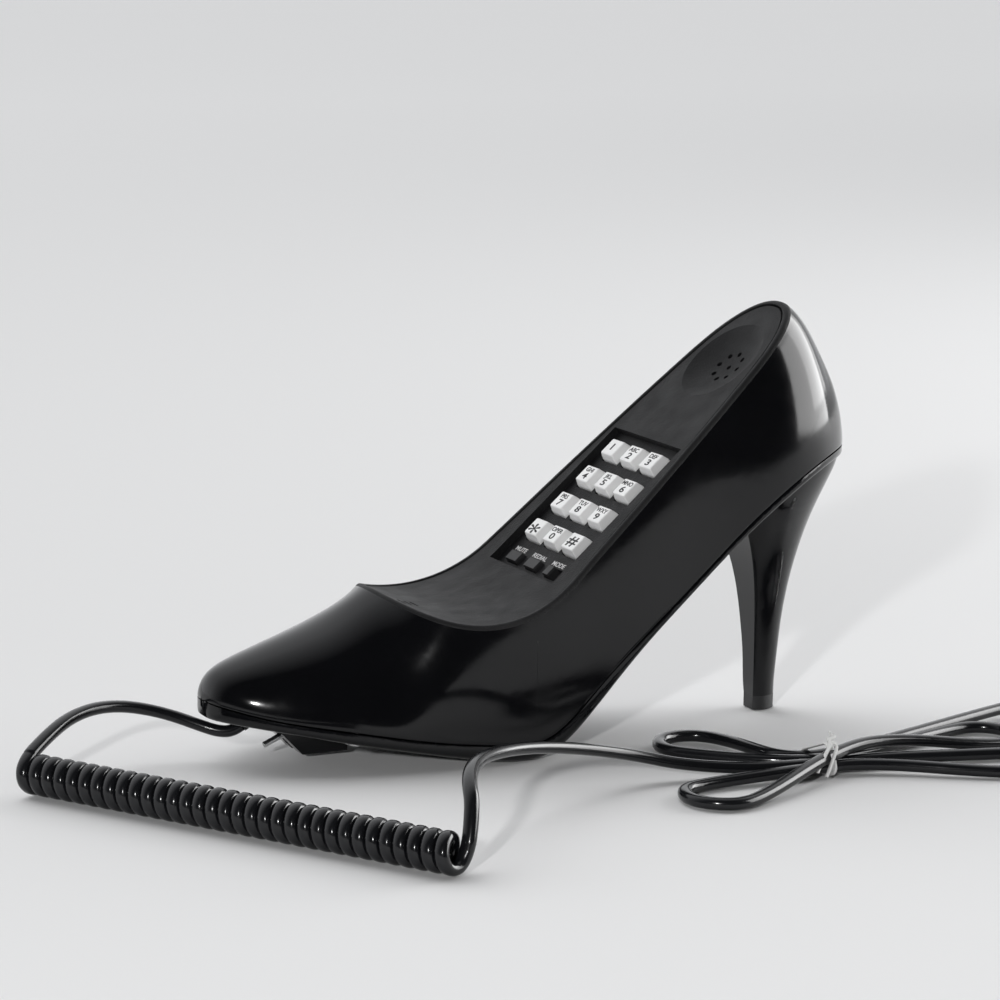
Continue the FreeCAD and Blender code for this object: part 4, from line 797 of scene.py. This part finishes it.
def read_spline(points):
    """Points read from one smooth spline with these control points, in millimetres."""
    curve = bpy.data.curves.new("cord_route", "CURVE")
    curve.dimensions = "3D"
    curve.resolution_u = SPLINE_STEPS
    spline = curve.splines.new("NURBS")
    spline.points.add(len(points) - 1)
    for spot, point in zip(spline.points, points):
        spot.co = (*point, 1.0)
    spline.order_u = 3
    spline.use_endpoint_u = True
    holder = bpy.data.objects.new("cord_route", curve)
    bpy.context.scene.collection.objects.link(holder)
    bpy.context.view_layer.update()
    mesh = bpy.data.meshes.new_from_object(holder)
    path = [v.co.copy() for v in mesh.vertices]
    bpy.data.objects.remove(holder)
    bpy.data.curves.remove(curve)
    bpy.data.meshes.remove(mesh)
    return path


def relax(start, path):
    """Carry a thin direction along a free run, turning it slowly until the cord lies flat."""
    carried = [start]
    for before, here in zip(path, path[1:]):
        way = (here - before).normalized()
        flat = Vector((0, 0, 1)) if carried[-1].z >= 0 else Vector((0, 0, -1))
        turned = carried[-1] + flat * (UNTWIST_PER_MM * (here - before).length)
        carried.append((turned - way * turned.dot(way)).normalized())
    return carried


def flat_sides(path):
    """Thin direction of the flat cord at each point: out from the coil's axis, and relaxed elsewhere."""
    axis = (COIL_END - COIL_START).normalized()
    reach = (COIL_END - COIL_START).length
    out = []
    on_coil = []
    for point in path:
        along = (point - COIL_START).dot(axis)
        radial = point - COIL_START - axis * along
        out.append(radial.normalized())
        beside = -COIL_MARGIN < along < reach + COIL_MARGIN
        on_coil.append(beside and radial.length < COIL_RADIUS * COIL_SLACK)
    first = on_coil.index(True)
    last = len(path) - 1 - on_coil[::-1].index(True)
    tail = relax(out[first], path[first::-1])[:0:-1]
    rest = relax(out[last], path[last:])[1:]
    return tail + out[first:last + 1] + rest


def sweep(path, thin, wide, thick, sides, power):
    """Vertices and faces of a flat rounded section carried along a path."""
    vertices = []
    faces = []
    for i, point in enumerate(path):
        way = (path[min(i + 1, len(path) - 1)] - path[max(i - 1, 0)]).normalized()
        across = way.cross(thin[i]).normalized()
        for k in range(sides):
            angle = 2 * math.pi * k / sides
            c, s = math.cos(angle), math.sin(angle)
            swell = (abs(c) ** power + abs(s) ** power) ** (-1 / power)
            vertices.append(point + across * (c * swell * wide / 2) + thin[i] * (s * swell * thick / 2))
    for i in range(len(path) - 1):
        for k in range(sides):
            a, b = i * sides + k, i * sides + (k + 1) % sides
            faces.append((a, b, b + sides, a + sides))
    faces.append(tuple(range(sides))[::-1])
    faces.append(tuple(range(len(vertices) - sides, len(vertices))))
    return vertices, faces


def make_cord():
    """One flat cord from the toe to the plug."""
    path = read_spline(cord_points())
    section_sizes = (CORD_WIDTH, CORD_THICKNESS, CORD_SIDES, CORD_POWER)
    vertices, faces = sweep(path, flat_sides(path), *section_sizes)
    cord = link_mesh("cord", vertices, faces, "cord_black")
    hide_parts("cord_tail", "curly_cord", "cord_lead", "line_hank")


# Tie

def ribbon(path, normals, wide, thick):
    return sweep(path, normals, wide, thick, RIBBON_SIDES, RIBBON_POWER)


def band_round(centres, reach, x):
    """Points and outward directions of a band drawn tight round strands, given as (y, z)."""
    points = []
    outward = []
    for k in range(BAND_STEPS + 1):
        angle = 2 * math.pi * k / BAND_STEPS
        aim = Vector((0.0, math.cos(angle), math.sin(angle)))
        spots = [Vector((x, y, z)) for y, z in centres]
        points.append(max(spots, key=aim.dot) + aim * reach)
        outward.append(aim)
    return points, outward


def make_tie():
    """A paper-covered wire tie: a band round the strands, a twisted knot and two loose tails."""
    low, high = (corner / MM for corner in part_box("hank_tie"))
    x = (low.x + high.x) / 2
    strands = [strand(row, 0)[1:] for row in (-1.5, -0.5, 0.5, 1.5)] + [strand(1.1, 1)[1:]]
    band, outward = band_round(strands, CORD_WIDTH / 2 + BAND_GAP, x)
    vertices, faces = ribbon(band, outward, *BAND_SIZE)
    knot = Vector((x, strand(KNOT_ROW, 1)[1], strand(0, 1)[2] + CORD_WIDTH / 2 + KNOT_GAP))
    twist = []
    for angle in [TWIST_END * k / TWIST_STEPS for k in range(TWIST_STEPS + 1)]:
        lean = TWIST_LEAN * angle
        around = (TWIST_RADIUS * math.cos(angle) + lean, TWIST_RADIUS * math.sin(angle) + lean)
        twist.append(knot + Vector((*around, TWIST_RISE * angle)))
    runs = [twist] + [read_spline([knot + Vector(p) for p in tail]) for tail in TIE_TAILS]
    for run in runs:
        facing = []
        for i in range(len(run)):
            way = (run[min(i + 1, len(run) - 1)] - run[max(i - 1, 0)]).normalized()
            facing.append(way.cross(Vector(TIE_FACING)).normalized())
        more, quads = ribbon(run, facing, *TAIL_SIZE)
        start = len(vertices)
        vertices += more
        faces += [tuple(start + i for i in quad) for quad in quads]
    tie = link_mesh("tie", vertices, faces, "tie_white")
    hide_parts("hank_tie")


# Finishes of the CAD parts that no piece replaces

NODE_FINISH = {
    "sole_shell": "gloss_black", "face_plate": "matte_black", "heel_tip": "black_rubber",
    "case_screws": "steel", "mute_button": "switch_black", "redial_button": "switch_black",
    "mode_slider": "switch_black", "keypad_mat": "grey_rubber", "keypad_board": "board_green",
    "keypad_screws": "steel", "button_switches": "grey_plastic", "receiver_gasket": "foam_black",
    "receiver_capsule": "grey_plastic", "microphone_boot": "black_rubber",
    "microphone_insert": "aluminium_can", "main_board": "board_green", "board_screws": "steel",
    "ringer": "switch_black", "board_components": "grey_plastic", "hook_lever": "chrome_rod",
    "hook_pivot_pin": "steel", "hook_switch": "switch_black", "cord_gland": "black_rubber",
    "modular_plug": "clear_plastic", "plug_contacts": "gold_contact",
}


def finish_nodes():
    for name, slot in NODE_FINISH.items():
        node = nodes[name]
        node.data.materials.clear()
        node.data.materials.append(materials[slot])


# Floor, light and camera

def make_floor():
    """A pale floor that gets paler into the distance."""
    mesh = bpy.data.meshes.new("floor")
    near = [(x, FLOOR_NEAR, FLOOR_LEVEL) for x in (-FLOOR_HALF_WIDE, FLOOR_HALF_WIDE)]
    far = [(x, FLOOR_FAR, FLOOR_LEVEL) for x in (FLOOR_HALF_WIDE, -FLOOR_HALF_WIDE)]
    mesh.from_pydata(near + far, [], [(0, 1, 2, 3)])
    floor = bpy.data.objects.new("floor", mesh)
    bpy.context.scene.collection.objects.link(floor)
    material, tree, shader = blank_material("floor")
    place = tree.nodes.new("ShaderNodeTexCoord")
    parts = tree.nodes.new("ShaderNodeSeparateXYZ")
    reach = tree.nodes.new("ShaderNodeMapRange")
    reach.inputs["From Min"].default_value, reach.inputs["From Max"].default_value = FLOOR_PALING
    ramp = tree.nodes.new("ShaderNodeValToRGB")
    for stop, tone in zip(ramp.color_ramp.elements, FLOOR_TONES):
        stop.color = (tone, tone, tone, 1.0)
    tree.links.new(place.outputs["Object"], parts.inputs["Vector"])
    tree.links.new(parts.outputs["Y"], reach.inputs["Value"])
    tree.links.new(reach.outputs["Result"], ramp.inputs["Fac"])
    tree.links.new(ramp.outputs["Color"], shader.inputs["Base Color"])
    shader.inputs["Roughness"].default_value = FLOOR_ROUGHNESS
    shader.inputs["Specular IOR Level"].default_value = FLOOR_SPECULAR
    mesh.materials.append(material)


def add_lamp(name, place, aim, size, power):
    lamp = bpy.data.lights.new(name, "AREA")
    lamp.shape = "RECTANGLE"
    lamp.size, lamp.size_y = size
    lamp.energy = power
    holder = bpy.data.objects.new(name, lamp)
    bpy.context.scene.collection.objects.link(holder)
    holder.location = place
    holder.rotation_euler = (Vector(aim) - Vector(place)).to_track_quat("-Z", "Y").to_euler()
    return holder


def make_world():
    """A studio that is pale behind and above the object and dark on the camera's side."""
    world = bpy.data.worlds.new("world")
    bpy.context.scene.world = world
    world.use_nodes = True
    tree = world.node_tree
    background = tree.nodes["Background"]
    background.inputs["Color"].default_value = WORLD_TINT
    place = tree.nodes.new("ShaderNodeTexCoord")
    parts = tree.nodes.new("ShaderNodeSeparateXYZ")
    spread = tree.nodes.new("ShaderNodeMapRange")
    spread.inputs["From Min"].default_value, spread.inputs["From Max"].default_value = WORLD_TURN
    spread.inputs["To Min"].default_value = WORLD_DARK
    spread.inputs["To Max"].default_value = WORLD_PALE
    tree.links.new(place.outputs["Generated"], parts.inputs["Vector"])
    tree.links.new(parts.outputs["Y"], spread.inputs["Value"])
    tree.links.new(spread.outputs["Result"], background.inputs["Strength"])


def make_light():
    """Broad daylight, a small key lamp, a side panel and a window that shows only in reflections."""
    sky = bpy.data.lights.new("sky", "SUN")
    sky.energy = SKY_STRENGTH
    sky.angle = SKY_SPREAD
    holder = bpy.data.objects.new("sky", sky)
    bpy.context.scene.collection.objects.link(holder)
    holder.rotation_euler = Vector(SKY_WAY).to_track_quat("-Z", "Y").to_euler()
    holder.visible_glossy = False
    for name, settings in LAMPS.items():
        lamp = add_lamp(name, *settings)
        lamp.visible_diffuse = name != REFLECTED_ONLY


def make_camera():
    data = bpy.data.cameras.new("camera")
    data.lens = CAMERA_LENS
    data.sensor_width = CAMERA_SENSOR
    data.dof.use_dof = False
    camera = bpy.data.objects.new("camera", data)
    bpy.context.scene.collection.objects.link(camera)
    turn = Matrix((CAMERA_RIGHT, CAMERA_UP, CAMERA_BACK)).transposed().to_4x4()
    camera.matrix_world = Matrix.Translation(CAMERA_PLACE) @ turn
    bpy.context.scene.camera = camera


finish_nodes()
make_upper()
make_sole_nose()
make_mould_lines()
make_keys()
make_labels()
make_cord()
make_tie()
make_floor()
make_world()
make_light()
make_camera()
bpy.context.scene.view_settings.view_transform = "Standard"
